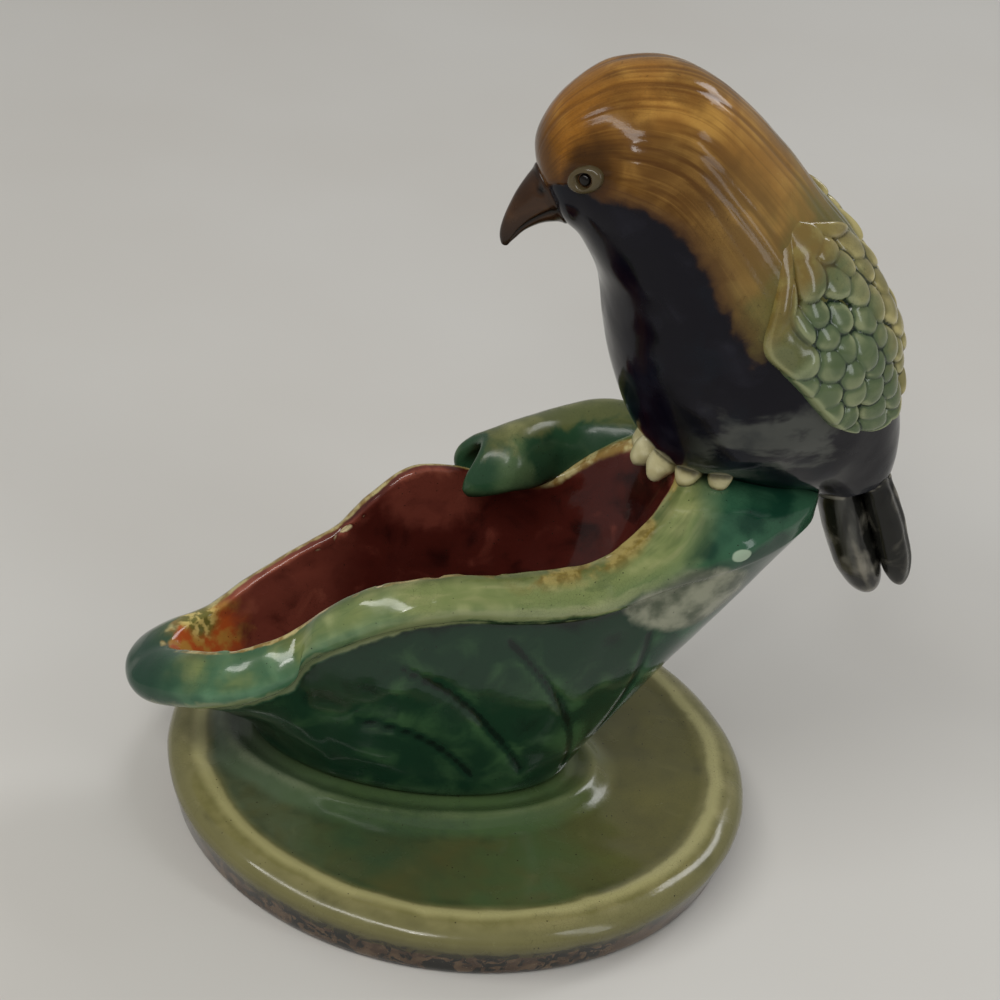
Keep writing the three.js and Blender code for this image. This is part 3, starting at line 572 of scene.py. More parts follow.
def build_leaf_bowl():
    """Draws out the leaf, then cuts its veins and chips its edge."""
    t = np.arange(LEAF_COLUMNS) / LEAF_COLUMNS
    rings = leaf_rings(t)
    shore, beyond = lip_marks(t, rings)
    marks = {"course": [[c] * LEAF_COLUMNS for c, _ in rings], "shore": shore, "beyond": beyond}
    marks["perch"] = [1 - rim_at(t)[5]] * len(rings)
    piece = drawn_out("leaf_bowl_glazed", [ring + LEAF_FOOT for _, ring in rings], marks)
    subdivide(piece, 2)
    points = points_of(piece)
    course = values_of(piece, "course")
    near = np.full(len(points), 9.0)
    wall = np.flatnonzero((course < -0.25) & (course > -2.05))
    for line in vein_courses():
        for spot in line:
            near[wall] = np.minimum(near[wall], np.linalg.norm(points[wall] - spot, axis=1))
    groove = np.exp(-((near / VEIN_HALF_WIDTH) ** 2))
    keep_values(piece, "vein", groove)
    lip = smooth(-0.3, 0.0, course) * (1 - smooth(1.0, 1.1, course))
    edge = np.exp(-((values_of(piece, "shore") / CHIP_REACH) ** 2))
    chips = edge * smooth(0.25, 0.5, lumps(points, 2.4, 16)) * smooth(-0.1, 0.3, lumps(points, 15, 17))
    keep_values(piece, "chip", chips)
    height = 0.3 * lumps(points, 11, 3) + 0.12 * lumps(points, 4, 4)
    height += lip * (0.28 * lumps(points, 8, 5) + 0.1 * lumps(points, 2.6, 6))
    height -= VEIN_DEPTH * groove + CHIP_DEPTH * chips
    raise_points(piece, height * smooth(-2.15, -1.9, course))
    return piece


# Folded lobe: the far rim's lobe, rolled over towards the bowl


FOLD_START = 0.655
FOLD_END = 0.52
FOLD_THICKNESS = 2.8
FOLD_NOTCH = 0.11
FOLD_OPENING = math.radians(-35)
FOLD_SWEEP = math.radians(215)
# The middle lies inside the lip's by a share of the fold's size, and the roll is a little taller than wide.
FOLD_SINK = 0.55
FOLD_TALL = 1.15
# size, rise and lean outwards, in hundredths of LEAF_LENGTH, from the end in the bowl to the one behind it.
FOLD = stations(
    [
        (6.1, -0.5, 0.9),
        (7.1, 3.6, 1.4),
        (7.8, 1, 9),
        (7.1, -2.5, 10.8),
        (5.3, -5, 6.7),
    ],
    LEAF_LENGTH,
)


def fold_ring(share, thickness):
    """One section of the rolled sheet, out along its upper face and back along its lower one."""
    half = thickness / 2
    size = along(FOLD, share)[0][0]
    turns = FOLD_OPENING + FOLD_SWEEP * np.linspace(0, 1, 17)
    bead = np.linspace(math.pi / 2, -math.pi / 2, 5)[1:-1]
    path = [(half, a) for a in turns]
    path += [(half * math.sin(b), turns[-1] + half * math.cos(b) / size) for b in bead]
    path += [(-half, a) for a in turns[::-1]]
    path += [(-half * math.sin(b), turns[0] - half * math.cos(b) / size) for b in bead]
    out_of_sheet, turn = np.array(path).T
    at = share + FOLD_NOTCH * np.sin(turn) ** 2 * (1 - smooth(0, 0.35, share))
    edge, out, lip = rim_at(FOLD_START + (FOLD_END - FOLD_START) * at)[:3]
    size, rise, lean = along(FOLD, at).T
    middle = edge + out * (lip / 2 - size * FOLD_SINK + lean)[:, None] + UP * rise[:, None]
    reach = (size + out_of_sheet)[:, None]
    return middle + reach * (out * np.cos(turn)[:, None] + UP * FOLD_TALL * np.sin(turn)[:, None])


def build_leaf_fold():
    """Draws out the rolled lobe and rounds its ends."""
    rings = []
    for share, thickness in [(-0.05, 0.0), (-0.04, 1.4), (-0.018, 2.4)]:
        rings.append(fold_ring(share, thickness) + LEAF_FOOT)
    rings += [fold_ring(k / 12, FOLD_THICKNESS) + LEAF_FOOT for k in range(13)]
    for share, thickness in [(1.018, 2.4), (1.04, 1.4), (1.05, 0.0)]:
        rings.append(fold_ring(share, thickness) + LEAF_FOOT)
    piece = drawn_out("leaf_fold_glazed", rings, open_ends=True)
    pinch_ends(piece)
    subdivide(piece, 2)
    points = points_of(piece)
    raise_points(piece, 0.3 * lumps(points, 7, 7) + 0.1 * lumps(points, 3, 8))
    mark_hollows(piece, 10, "edge")
    keep_values(piece, "edge", smooth(0.05, 0.5, -values_of(piece, "edge")))
    return piece


# Bird's body: rings from the face to the tail's root. Turn 0 is the back and a quarter turn the near side.


# ahead and up of the belly, ahead and up of the back, then half the breadth, in hundredths of BIRD_HEIGHT.
BODY = stations(
    [
        (-53.3, 64.8, -58.5, 73.8, 4.5),
        (-52, 63.3, -60, 80.9, 8.7),
        (-49.5, 61.3, -57.2, 89.2, 12.8),
        (-47.1, 57.8, -51.8, 95.1, 16.4),
        (-44.3, 53.3, -43, 100, 20.2),
        (-41.7, 47.9, -27.7, 99.6, 22.9),
        (-39.6, 38.7, -11.2, 88, 24.8),
        (-35.9, 26.3, 4.6, 72, 26.2),
        (-30, 14.2, 16.4, 58.7, 26.7),
        (-22.2, 5.7, 24.7, 45.2, 25.4),
        (-12.4, 3.3, 28.2, 33.7, 21.6),
        (-1.1, 0.4, 31.8, 21.7, 16.8),
        (10.1, -1, 34, 9.5, 11.6),
        (16.6, -4, 33.6, 1.9, 8.2),
    ],
    BIRD_HEIGHT,
)


def body_points(u, turn, grow=0.0):
    """Points on the bird's skin, or grow above it, at shares u along it and turns round it."""
    u, turn, grow = np.broadcast_arrays(np.asarray(u, float), turn, grow)
    rows = along(BODY, u.ravel())
    zero = np.zeros(len(rows))
    belly = np.stack([rows[:, 0], zero, rows[:, 1]], 1)
    top = np.stack([rows[:, 2], zero, rows[:, 3]], 1)
    back = top - belly
    deep = np.linalg.norm(back, axis=1)
    back /= deep[:, None]
    run = np.stack([back[:, 2], zero, -back[:, 0]], 1)
    g, a = grow.ravel(), turn.ravel()
    points = (belly + top) / 2 + run * (g * (2 * u.ravel() - 1))[:, None]
    points += back * ((deep / 2 + g) * np.cos(a))[:, None]
    points -= ACROSS * ((rows[:, 4] + g) * np.sin(a))[:, None]
    return (points + BIRD_SEAT).reshape(u.shape + (3,))


BODY_SIDES = 56
BODY_RINGS = 46


def build_bird_body():
    """Draws out the body and marks its plumage."""
    turns = np.arange(BODY_SIDES) / BODY_SIDES * 2 * math.pi
    shares = np.linspace(0, 1, BODY_RINGS)
    rings = [body_points(u, turns) for u in shares]
    away = np.degrees(np.minimum(turns, 2 * math.pi - turns))
    marks = {"along": [[u] * BODY_SIDES for u in shares], "away": [away] * BODY_RINGS}
    piece = drawn_out("bird_body_glazed", rings, marks)
    subdivide(piece, 2)
    mark_plumage(piece)
    return piece


# How far from the back, in degrees, the mantle reaches at shares along the body, and the share at which it
# ends at degrees from the back.
MANTLE_SIDE = [(0, 55), (0.05, 63), (0.1, 72), (0.15, 80), (0.2, 87), (0.24, 91), (0.3, 87), (0.37, 89)]
MANTLE_SIDE += [(0.43, 87), (0.5, 90), (0.55, 89), (1, 89)]
MANTLE_END = [(0, 0.7), (60, 0.62), (74, 0.585), (82, 0.575), (90, 0.565), (180, 0.565)]
MANTLE_STEP = 0.3
STREAK_DEPTH = 0.1
# Millimetres along the skin from face to tail, and round it for each degree.
BODY_RUN = BIRD_HEIGHT * 1.25
DEGREE_RUN = math.radians(1) * 18
EYE_SHARE = 0.195
EYE_TURN = math.radians(77)


def flow_across(u, away):
    """Degrees from the back's line, bent so that lines of one value run as the brush did."""
    return away + 30 * np.clip(0.45 - u, 0, 1) * np.sin(np.radians(np.clip(away, 0, 180)))


def strokes(u, away, side, width, seed):
    """Brush strokes that run along the body, about width degrees apart, as soft noise between -1 and 1."""
    flow = flow_across(u, away)
    strand = np.stack([u * 5 + flow * 0.02, flow / width, side * 3.0 + 7], 1)
    return lumps(strand, 1.0, seed)


def mark_plumage(piece):
    """Marks how far inside the mantle and from the eye each point lies, in mm, and cuts brushed grooves."""
    points = points_of(piece)
    u, away = values_of(piece, "along"), values_of(piece, "away")
    side = (np.interp(u, *zip(*MANTLE_SIDE)) - away) * DEGREE_RUN
    end = (np.interp(away, *zip(*MANTLE_END)) - u) * BODY_RUN
    mantle = np.minimum(side, end)
    keep_values(piece, "mantle", mantle)
    facing = np.sign(BIRD_SEAT[1] - points[:, 1])
    broad = smooth(0.3, 0.75, strokes(u, away, facing, 3.4, 11))
    fine = smooth(0.1, 0.7, strokes(u, away, facing, 1.7, 12))
    inside = smooth(0.5, 3, mantle) * smooth(0.04, 0.16, u)
    keep_values(piece, "streak", inside * np.maximum(0.45 * broad, 0.35 * fine))
    keep_values(piece, "flow", flow_across(u, away))
    round_eye = (away - math.degrees(EYE_TURN)) * DEGREE_RUN
    keep_values(piece, "from_eye", np.hypot((u - EYE_SHARE) * BODY_RUN, round_eye))
    body = 0.25 * lumps(points, 9, 13) + 0.07 * lumps(points, 3.5, 14)
    step = MANTLE_STEP * smooth(-1.2, 1.2, mantle)
    raise_points(piece, body + step - STREAK_DEPTH * inside * (broad + 0.5 * fine))


# Wings: a sheet over the body that carries rows of overlapping scales behind a smooth leading band


WING_START = 0.47
WING_END = 0.82
# How far round the body, in degrees, the wing's lower and upper edges lie, from shoulder to rump.
WING_LOW = [50, 62, 86, 85, 82, 80, 78, 70, 51]
WING_HIGH = [46, 33, 14, 9, 9, 9, 12, 19, 35]
WING = np.array([WING_LOW, WING_HIGH], float).T
WING_STAND = 0.45
WING_CORNER = 5.5
BAND_BREADTH = 4.6
LOBE_BREADTH = 6.6
SCALE_LENGTH = 4.8
SCALE_BREADTH = 4.9
# How far a scale reaches from its middle, along and across, as shares of the above. Neighbours overlap.
SCALE_REACH = (0.74, 0.55)
SCALE_HEIGHT = 1.3
SCALE_LIFT = 0.12
BAND_HEIGHT = 1.15
SHEET_DEPTH = 0.35
SHEET_THICKNESS = 1.1
RIM_DEPTH = 0.9
FRONT_DEPTH = 0.5
WING_ROWS = 180
WING_COLUMNS = 120


def wing_turns(t, s):
    """How far round the body the wing lies at shares t along it and s from its upper to its lower edge."""
    low, high = along(WING, t).T
    return np.radians(high + (low - high) * s)


def wing_measures():
    """The wing's length, and its breadth at each of a run of shares along it."""
    t = np.linspace(0, 1, 41)
    u = WING_START + (WING_END - WING_START) * t
    middle = body_points(u, wing_turns(t, 0.5))
    length = np.linalg.norm(np.diff(middle, axis=0), axis=1).sum()
    turns = [wing_turns(t, s) for s in np.linspace(0, 1, 9)]
    chain = np.array([body_points(u, a) for a in turns])
    return length, t, np.linalg.norm(np.diff(chain, axis=0), axis=2).sum(0)


def scale_places(length, shares, breadths):
    """Where each scale's middle lies, as shares along and across the wing, and its size. No two are alike."""
    chance = np.random.default_rng(21)
    rows = int(round(length / SCALE_LENGTH)) + 1
    for i in range(rows):
        t = (i + 0.35) / rows
        breadth = np.interp(t, shares, breadths)
        count = max(1, int(round(breadth / SCALE_BREADTH)))
        for j in range(-1, count + 1):
            s = (j + 0.5 + (0.25 if i % 2 else -0.25)) / count
            at_t = t + chance.uniform(-0.012, 0.012)
            at_s = s + chance.uniform(-0.03, 0.03)
            yield at_t, at_s, chance.uniform(0.85, 1.12)


def inside_edge(x, y, corner):
    """How far inside a round-cornered edge a point lies, from its distances to the two nearest sides."""
    short = np.minimum(x, y)
    both = (x < corner) & (y < corner)
    return np.where(both, corner - np.hypot(corner - x, corner - y), short)


def wing_relief(t, s):
    """Height of the glazed scales over the wing's sheet at shares t along and s across it, and how far each
    point is on the smooth band that leads the wing. The wing's front sinks into the mantle."""
    length, shares, breadths = wing_measures()
    breadth = np.interp(t, shares, breadths)
    height = np.full(t.shape, -SHEET_DEPTH)
    half_length, half_breadth = SCALE_LENGTH * SCALE_REACH[0], SCALE_BREADTH * SCALE_REACH[1]
    for scale_t, scale_s, size in scale_places(length, shares, breadths):
        x = (t - scale_t) * length
        y = (s - scale_s) * np.interp(scale_t, shares, breadths)
        reach = (x / (half_length * size)) ** 2 + (y / (half_breadth * size)) ** 2
        dome = np.sqrt(np.clip(1 - reach, 0, 1))
        scale = SCALE_HEIGHT * size * dome**0.75 + SCALE_LIFT * x
        height = np.maximum(height, np.where(reach < 1, scale, -SHEET_DEPTH))
    from_low = (1 - s) * breadth
    width = BAND_BREADTH + (LOBE_BREADTH - BAND_BREADTH) * smooth(0.14, 0.3, t)
    band = smooth(0.4, 0.35, t) * smooth(width + 0.6, width - 0.4, from_low)
    roll = BAND_HEIGHT * np.sqrt(np.clip(1 - ((from_low - width / 2) / (width / 2 + 0.5)) ** 2, 0, 1))
    height = height * (1 - band) + band * roll
    ends = np.minimum(t, 1 - t) * length
    sides = np.minimum(s, 1 - s) * breadth
    rim = smooth(0, 1.6, inside_edge(ends, sides, WING_CORNER))
    rise = smooth(0.05, 0.24, t)
    return (WING_STAND + height) * rim * rise - RIM_DEPTH * (1 - rim) - FRONT_DEPTH * (1 - rise), band


def build_wing(name, side):
    """Lays a grid over one side of the body, 1 near or -1 far, and raises its scales."""
    rows, columns = WING_ROWS - 1, WING_COLUMNS - 1
    deselect()
    bpy.ops.mesh.primitive_grid_add(x_subdivisions=rows, y_subdivisions=columns, size=2 * MM)
    piece = bpy.context.object
    piece.name = piece.data.name = name
    flat = points_of(piece)
    t = np.clip((flat[:, 0] + 1) / 2, 0, 1)
    s = np.clip((flat[:, 1] + 1) / 2, 0, 1)
    u = WING_START + (WING_END - WING_START) * t
    relief, band = wing_relief(t, s)
    place_points(piece, body_points(u, side * wing_turns(t, s), relief))
    keep_values(piece, "band", band)
    keep_values(piece, "along", t)
    keep_values(piece, "across", s)
    if side > 0:
        edit_all(piece, bpy.ops.mesh.flip_normals)
    raise_points(piece, 0.16 * lumps(points_of(piece), 3.5, 15))
    mark_hollows(piece, 14)
    finish_modifier(piece, "SOLIDIFY", thickness=SHEET_THICKNESS * MM, offset=-1)
    return piece


# Beak: a hooked cone whose stations run from the face to the tip


# ahead, up, half depth and half breadth, in hundredths of BIRD_HEIGHT.
BEAK = stations(
    [
        (-53.5, 70.7, 8.2, 6.5),
        (-56.6, 68.8, 6.8, 5.5),
        (-59.8, 66, 4.8, 4),
        (-62.5, 62.5, 3.1, 2.6),
        (-64.1, 58.9, 1.9, 1.6),
        (-64.4, 56.5, 0.7, 0.7),
    ],
    BIRD_HEIGHT,
)
BEAK_SIDES = 24
# The line of the gape in degrees from the back, and how many it falls towards the tip.
GAPE_TURN = 97
GAPE_FALL = 18
GAPE_DEPTH = 0.3
NOSTRIL_SHARE = 0.2
NOSTRIL_TURN = 52
NOSTRIL_DEPTH = 0.35


def oval(middle, long, half_length, wide, half_breadth, sides):
    """A ring of points on an oval round middle, starting on its long direction."""
    turns = np.arange(sides) / sides * 2 * math.pi
    return middle + np.outer(np.cos(turns) * half_length, long) - np.outer(np.sin(turns) * half_breadth, wide)


def build_beak():
    """Draws out the beak, then cuts its gape and its nostrils."""
    rings = []
    shares = np.linspace(0, 1, 15)
    for t in shares:
        ahead, up, deep, wide = along(BEAK, t)[0]
        run = (along(BEAK, min(t + 0.02, 1)) - along(BEAK, max(t - 0.02, 0)))[0][:2]
        run /= np.linalg.norm(run)
        back = np.array([-run[1], 0, run[0]])
        back = back if back[2] > 0 else -back
        rings.append(oval(BIRD_SEAT + [ahead, 0, up], back, deep, ACROSS, wide, BEAK_SIDES))
    away = np.degrees(np.arange(BEAK_SIDES) / BEAK_SIDES * 2 * math.pi)
    away = np.minimum(away, 360 - away)
    marks = {"along": [[t] * BEAK_SIDES for t in shares], "away": [away] * len(shares)}
    piece = drawn_out("beak_glazed", rings, marks)
    subdivide(piece, 3)
    t, away = values_of(piece, "along"), values_of(piece, "away")
    gape = np.exp(-(((away - GAPE_TURN - GAPE_FALL * t) / 7) ** 2)) * smooth(0.9, 0.6, t)
    nostril = np.exp(-(((t - NOSTRIL_SHARE) / 0.035) ** 2) - ((away - NOSTRIL_TURN) / 9) ** 2)
    hand = 0.1 * lumps(points_of(piece), 3, 21)
    raise_points(piece, hand - GAPE_DEPTH * gape - NOSTRIL_DEPTH * nostril)
    keep_values(piece, "gape", np.maximum(gape, nostril))
    return piece


# Eyes: an oval ring of slip with the pupil standing in its hole


EYE_SLANT = math.radians(-12)
EYE_HALF_LENGTH = 3.2
EYE_HALF_HEIGHT = 2.1
EYE_RISE = 0.9
EYE_CREST = 0.75
EYE_SIDES = 28
PUPIL_RADIUS = 1.05
PUPIL_CLEARANCE = 0.25


def body_seat(u, turn):
    """A place on the bird's skin: its origin and the directions towards the tail, round the body and out."""
    nudge = 0.01
    origin = body_points(u, turn)
    down = body_points(u + nudge, turn) - body_points(u - nudge, turn)
    down /= np.linalg.norm(down)
    round_it = body_points(u, turn + nudge) - body_points(u, turn - nudge)
    out = np.cross(down, round_it)
    out /= np.linalg.norm(out)
    inside = body_points(u, turn, -2.0)
    if np.dot(out, origin - inside) < 0:
        out = -out
    return origin, down, np.cross(out, down), out


def on_face(side, rings):
    """Rings of an eye's part, each a half length, a half height and a rise, set on one side of the face."""
    origin, down, round_it, out = body_seat(EYE_SHARE, side * EYE_TURN)
    long = down * math.cos(EYE_SLANT) + round_it * math.sin(side * EYE_SLANT) * -side
    high = np.cross(out, long)
    return [oval(origin + out * rise, long, half, high, tall, EYE_SIDES) for half, tall, rise in rings]


def build_eye_ring(name, side):
    """Draws out the ring and its hole on one side of the face."""
    size = np.array([EYE_HALF_LENGTH, EYE_HALF_HEIGHT])
    hole = PUPIL_RADIUS + PUPIL_CLEARANCE
    rings = []
    for grow, rise in [(0.15, -1.2), (0.12, -0.1), (0.0, 0.4), (-0.3, 0.72), (-EYE_CREST, EYE_RISE)]:
        rings.append((*(size + grow), rise))
    for share, rise in [(0.5, 0.86), (0.85, 0.6), (1.0, 0.25), (1.05, -0.8)]:
        rings.append((*((size - EYE_CREST) * (1 - share) + hole * share), rise))
    piece = drawn_out(name, on_face(side, rings))
    subdivide(piece, 2)
    raise_points(piece, 0.05 * lumps(points_of(piece), 1.2, 22))
    return piece


def build_pupil(name, side):
    """Draws out the pellet that stands in the ring's hole."""
    radii = [(PUPIL_RADIUS, -1.2), (PUPIL_RADIUS, 0.0), (0.95, 0.35), (0.7, 0.55), (0.35, 0.64)]
    piece = drawn_out(name, on_face(side, [(radius, radius, rise) for radius, rise in radii]))
    subdivide(piece, 2)
    return piece


# Toes: rolled pellets that grip the stalk in front of the belly


TOE_LENGTH = 6.6
TOE_RADIUS = 2.5
TOE_HEIGHT = 1.4
TOE_DROOP = 2.6
TOE_AHEAD = 0.7
TOE_SIDES = 12
# ahead, across and up from the seat, in hundredths of BIRD_HEIGHT, then how far it swings, in degrees.
TOES = {
    "toe_near_outer": (-9.5, -8.7, 8.2, 70),
    "toe_near_middle": (-15.3, -6.8, 7.4, 44),
    "toe_near_inner": (-20.2, -2.5, 5.6, 20),
    "toe_far_inner": (-22.1, 3.7, 4.8, -4),
    "toe_far_middle": (-20.7, 9.7, 4.8, -28),
    "toe_far_outer": (-16.4, 14.5, 4.8, -56),
}


def build_toe(name, seed):
    """Draws out one drooping pellet that points the way it swings."""
    *spot, swing = TOES[name]
    middle = BIRD_SEAT + np.array(spot) * BIRD_HEIGHT / 100
    turn = math.radians(swing)
    forward = np.array([-math.cos(turn), -math.sin(turn), 0])
    wide = np.array([-forward[1], forward[0], 0])
    shares = 0.5 - 0.5 * np.cos(np.linspace(0.12, math.pi - 0.12, 10))
    rings = []
    for t in shares:
        girth = (1 - abs(2 * t - 1) ** 2.5) ** 0.5 * TOE_RADIUS
        at = middle + forward * (TOE_AHEAD + (t - 0.5) * TOE_LENGTH) - UP * TOE_DROOP * t * t
        rings.append(oval(at, UP, girth * TOE_HEIGHT, wide, girth, TOE_SIDES))
    piece = drawn_out(f"{name}_glazed", rings)
    subdivide(piece, 2)
    raise_points(piece, 0.16 * lumps(points_of(piece), 1.6, seed))
    return piece


# Tail: one long rounded feather under two slimmer ones


# root ahead and up, tip ahead and up, distance apart, half breadth, half depth and bow, in hundredths of
# BIRD_HEIGHT.
TAIL_UNDER, TAIL_UPPER = stations(
    [
        (17.7, 8.2, 34.9, -31.4, 0, 8.7, 5.6, -1.1),
        (25.2, 9.5, 41.2, -27.6, 3.9, 4.1, 4.2, 0.6),
    ],
    BIRD_HEIGHT,
)
FEATHER_SIDES = 32
FEATHER_TIP = 0.72
FEATHER_ROOT = 0.78


def feather_taper(t):
    """A feather's girth at share t, as a share of its full one."""
    rounding = max(0, (t - FEATHER_TIP) / (1 - FEATHER_TIP))
    spread = FEATHER_ROOT + (1 - FEATHER_ROOT) * min(1, 2 * t)
    return spread * math.sqrt(max(1 - rounding**2, 0.02))


def build_tail_feather(name, row, side, grooves, groove_depth):
    """Draws out one bowed, tapered feather and cuts furrows into its upper side."""
    root_ahead, root_up, tip_ahead, tip_up, apart, breadth, depth, bow = row
    root = BIRD_SEAT + [root_ahead, side * apart, root_up]
    tip = BIRD_SEAT + [tip_ahead, side * apart, tip_up]
    run = (tip - root) / np.linalg.norm(tip - root)
    back = np.array([-run[2], 0, run[0]])
    shares = np.r_[np.linspace(0, FEATHER_TIP, 10), 0.78, 0.84, 0.89, 0.93, 0.965, 0.99, 1]
    rings = []
    for t in shares:
        middle = root + (tip - root) * t + back * bow * 4 * t * (1 - t)
        taper = feather_taper(t)
        rings.append(oval(middle, back, depth * taper, ACROSS, breadth * taper, FEATHER_SIDES))
    piece = drawn_out(name, rings, {"along": [[t] * FEATHER_SIDES for t in shares]})
    subdivide(piece, 2)
    points = points_of(piece)
    t = values_of(piece, "along")
    beside = (points[:, 1] - root[1]) / breadth
    upper = smooth(-0.2, 0.5, normals_of(piece) @ back)
    comb = 0.5 - 0.5 * np.cos(beside * math.pi * grooves)
    furrow = comb**2 * upper * smooth(0, 0.2, t) * smooth(1.0, 0.86, t)
    hand = 0.15 * lumps(points, 5, 23) + 0.05 * lumps(points, 2, 24)
    raise_points(piece, -groove_depth * furrow + hand)
    return piece


# Node trees


def add(tree, kind, **settings):
    node = tree.nodes.new(kind)
    for key, value in settings.items():
        setattr(node, key, value)
    return node


def rgb(red, green, blue):
    """A colour written as on a screen, 0 to 255, in the renderer's own scale and with its alpha."""
    share = np.array([red, green, blue]) / 255
    linear = np.where(share <= 0.04045, share / 12.92, ((share + 0.055) / 1.055) ** 2.4)
    return (*(float(v) for v in linear), 1.0)


def feed(tree, socket, value):
    """Links an output to a socket, or sets the socket to a number or to a colour written as on a screen."""
    if isinstance(value, bpy.types.NodeSocket):
        tree.links.new(value, socket)
    elif socket.type == "RGBA":
        socket.default_value = rgb(*value)
    else:
        socket.default_value = value


def sums(tree, operation, *values, clamp=False):
    node = add(tree, "ShaderNodeMath", operation=operation, use_clamp=clamp)
    for socket, value in zip(node.inputs, values):
        feed(tree, socket, value)
    return node.outputs[0]


def plus(tree, first, second, clamp=False):
    return sums(tree, "ADD", first, second, clamp=clamp)


def minus(tree, first, second):
    return sums(tree, "SUBTRACT", first, second)


def times(tree, first, second):
    return sums(tree, "MULTIPLY", first, second)


def vectors(tree, operation, *values):
    """Vector maths on the values. A length comes out as a number."""
    node = add(tree, "ShaderNodeVectorMath", operation=operation)
    for socket, value in zip(node.inputs, values):
        feed(tree, socket, value)
    return node.outputs["Value" if operation == "LENGTH" else "Vector"]


def scaled(tree, vector, scale):
    node = add(tree, "ShaderNodeVectorMath", operation="SCALE")
    feed(tree, node.inputs[0], vector)
    feed(tree, node.inputs["Scale"], scale)
    return node.outputs[0]


def mixed(tree, share, first, second, most=1.0):
    """The second colour over the first, by a share from 0 to 1 of the most there can be of it."""
    node = add(tree, "ShaderNodeMix", data_type="RGBA")
    share = share if most == 1.0 else times(tree, share, most)
    for index, value in ((0, share), (6, first), (7, second)):
        feed(tree, node.inputs[index], value)
    return node.outputs[2]


def ranged(tree, value, none, full):
    """0 where a value is at none or past it, 1 at full or past it, and a soft step between."""
    node = add(tree, "ShaderNodeMapRange", interpolation_type="SMOOTHSTEP")
    for socket, item in zip(node.inputs, (value, none, full)):
        feed(tree, socket, item)
    return node.outputs[0]


def within(tree, value, low, high, soft):
    """1 where a value lies between two limits, with soft ends."""
    return times(tree, ranged(tree, value, low - soft, low), ranged(tree, value, high + soft, high))


def place(tree):
    """Object coordinates in millimetres."""
    return scaled(tree, add(tree, "ShaderNodeTexCoord").outputs["Object"], 1 / MM)


def scaled_place(tree, size):
    """Object coordinates in units of size millimetres, where size may be an output too."""
    return scaled(tree, place(tree), sums(tree, "DIVIDE", 1.0, size))


def part_of(tree, vector, axis):
    split = add(tree, "ShaderNodeSeparateXYZ")
    feed(tree, split.inputs[0], vector)
    return split.outputs[axis]


def axis_of(tree, axis):
    """One coordinate in millimetres: X towards the tail, Y away from the viewer or Z up."""
    return part_of(tree, place(tree), axis)


def marked(tree, name):
    """The number that keep_values stored on the mesh under this name."""
    return add(tree, "ShaderNodeAttribute", attribute_name=name, attribute_type="GEOMETRY").outputs["Fac"]


def noise(tree, size, detail, at=None, distortion=0.0):
    """Soft noise from 0 to 1 with swells of about size millimetres, or of size in the units of at."""
    node = add(tree, "ShaderNodeTexNoise")
    feed(tree, node.inputs["Vector"], at or place(tree))
    for key, value in (("Scale", 1 / size), ("Detail", detail), ("Distortion", distortion)):
        node.inputs[key].default_value = value
    return node.outputs["Fac"]


def mottled(tree, first, second, size, detail, none, full):
    """Two colours in soft patches of about size millimetres."""
    return mixed(tree, ranged(tree, noise(tree, size, detail), none, full), first, second)


def frayed(tree, value, size, amount):
    """A value with a broken-up offset of up to amount either way, for ragged edges."""
    wave = minus(tree, noise(tree, size, 4.0, distortion=0.5), 0.5)
    return plus(tree, value, times(tree, wave, 2 * amount))


def streaked(tree, across, width, long, detail=3.0):
    """Noise drawn out into streaks that follow lines of one value of across, width apart."""
    where = add(tree, "ShaderNodeCombineXYZ")
    feed(tree, where.inputs[0], sums(tree, "DIVIDE", across, width))
    feed(tree, where.inputs[1], times(tree, axis_of(tree, "X"), long))
    feed(tree, where.inputs[2], times(tree, axis_of(tree, "Y"), long))
    return noise(tree, 1.0, detail, at=where.outputs[0], distortion=0.3)


def around_place(tree, centre, radius, soft, stretch=(1, 1, 1)):
    """1 inside a ball round a place on the figure, in millimetres, with a broken edge."""
    offset = vectors(tree, "MULTIPLY", vectors(tree, "SUBTRACT", place(tree), centre), stretch)
    far = frayed(tree, vectors(tree, "LENGTH", offset), 2.5, soft)
    return ranged(tree, far, radius + soft, radius - soft)


# Shared glaze effects


COLOUR = "NodeSocketColor"
NUMBER = "NodeSocketFloat"
PATCH_SIZE = 7.0


def new_group(name, inputs, outputs):
    """An empty node group. inputs and outputs pair a socket's name with its kind and value."""
    tree = bpy.data.node_groups.new(name, "ShaderNodeTree")
    for label, kind, value in inputs:
        socket = tree.interface.new_socket(name=label, in_out="INPUT", socket_type=kind)
        socket.default_value = rgb(*value) if kind == COLOUR else value
    for label, kind in outputs:
        tree.interface.new_socket(name=label, in_out="OUTPUT", socket_type=kind)
    start = tree.nodes.new("NodeGroupInput")
    end = tree.nodes.new("NodeGroupOutput")
    return tree, start.outputs, end.inputs


def make_pooling():
    """Glaze that runs thin on ridges and pools in hollows and joints, with soft patches of more and less."""
    inputs = [("Thin", COLOUR, (255, 255, 255)), ("Body", COLOUR, (128, 128, 128))]
    inputs += [("Deep", COLOUR, (0, 0, 0)), ("Reach", NUMBER, 0.12), ("Patches", NUMBER, 0.5)]
    tree, given, result = new_group("Glaze Pooling", inputs, [("Color", COLOUR)])
    hollow = sums(tree, "DIVIDE", marked(tree, "hollow"), given["Reach"])
    cloud = minus(tree, noise(tree, PATCH_SIZE, 4.0, distortion=0.6), 0.5)
    cloud = times(tree, cloud, times(tree, given["Patches"], 4.0))
    depth = plus(tree, plus(tree, hollow, cloud), times(tree, marked(tree, "joint"), 1.2))
    thin = mixed(tree, ranged(tree, depth, -0.1, -1.4), given["Body"], given["Thin"])
    feed(tree, result["Color"], mixed(tree, ranged(tree, depth, 0.1, 1.4), thin, given["Deep"]))
    return tree


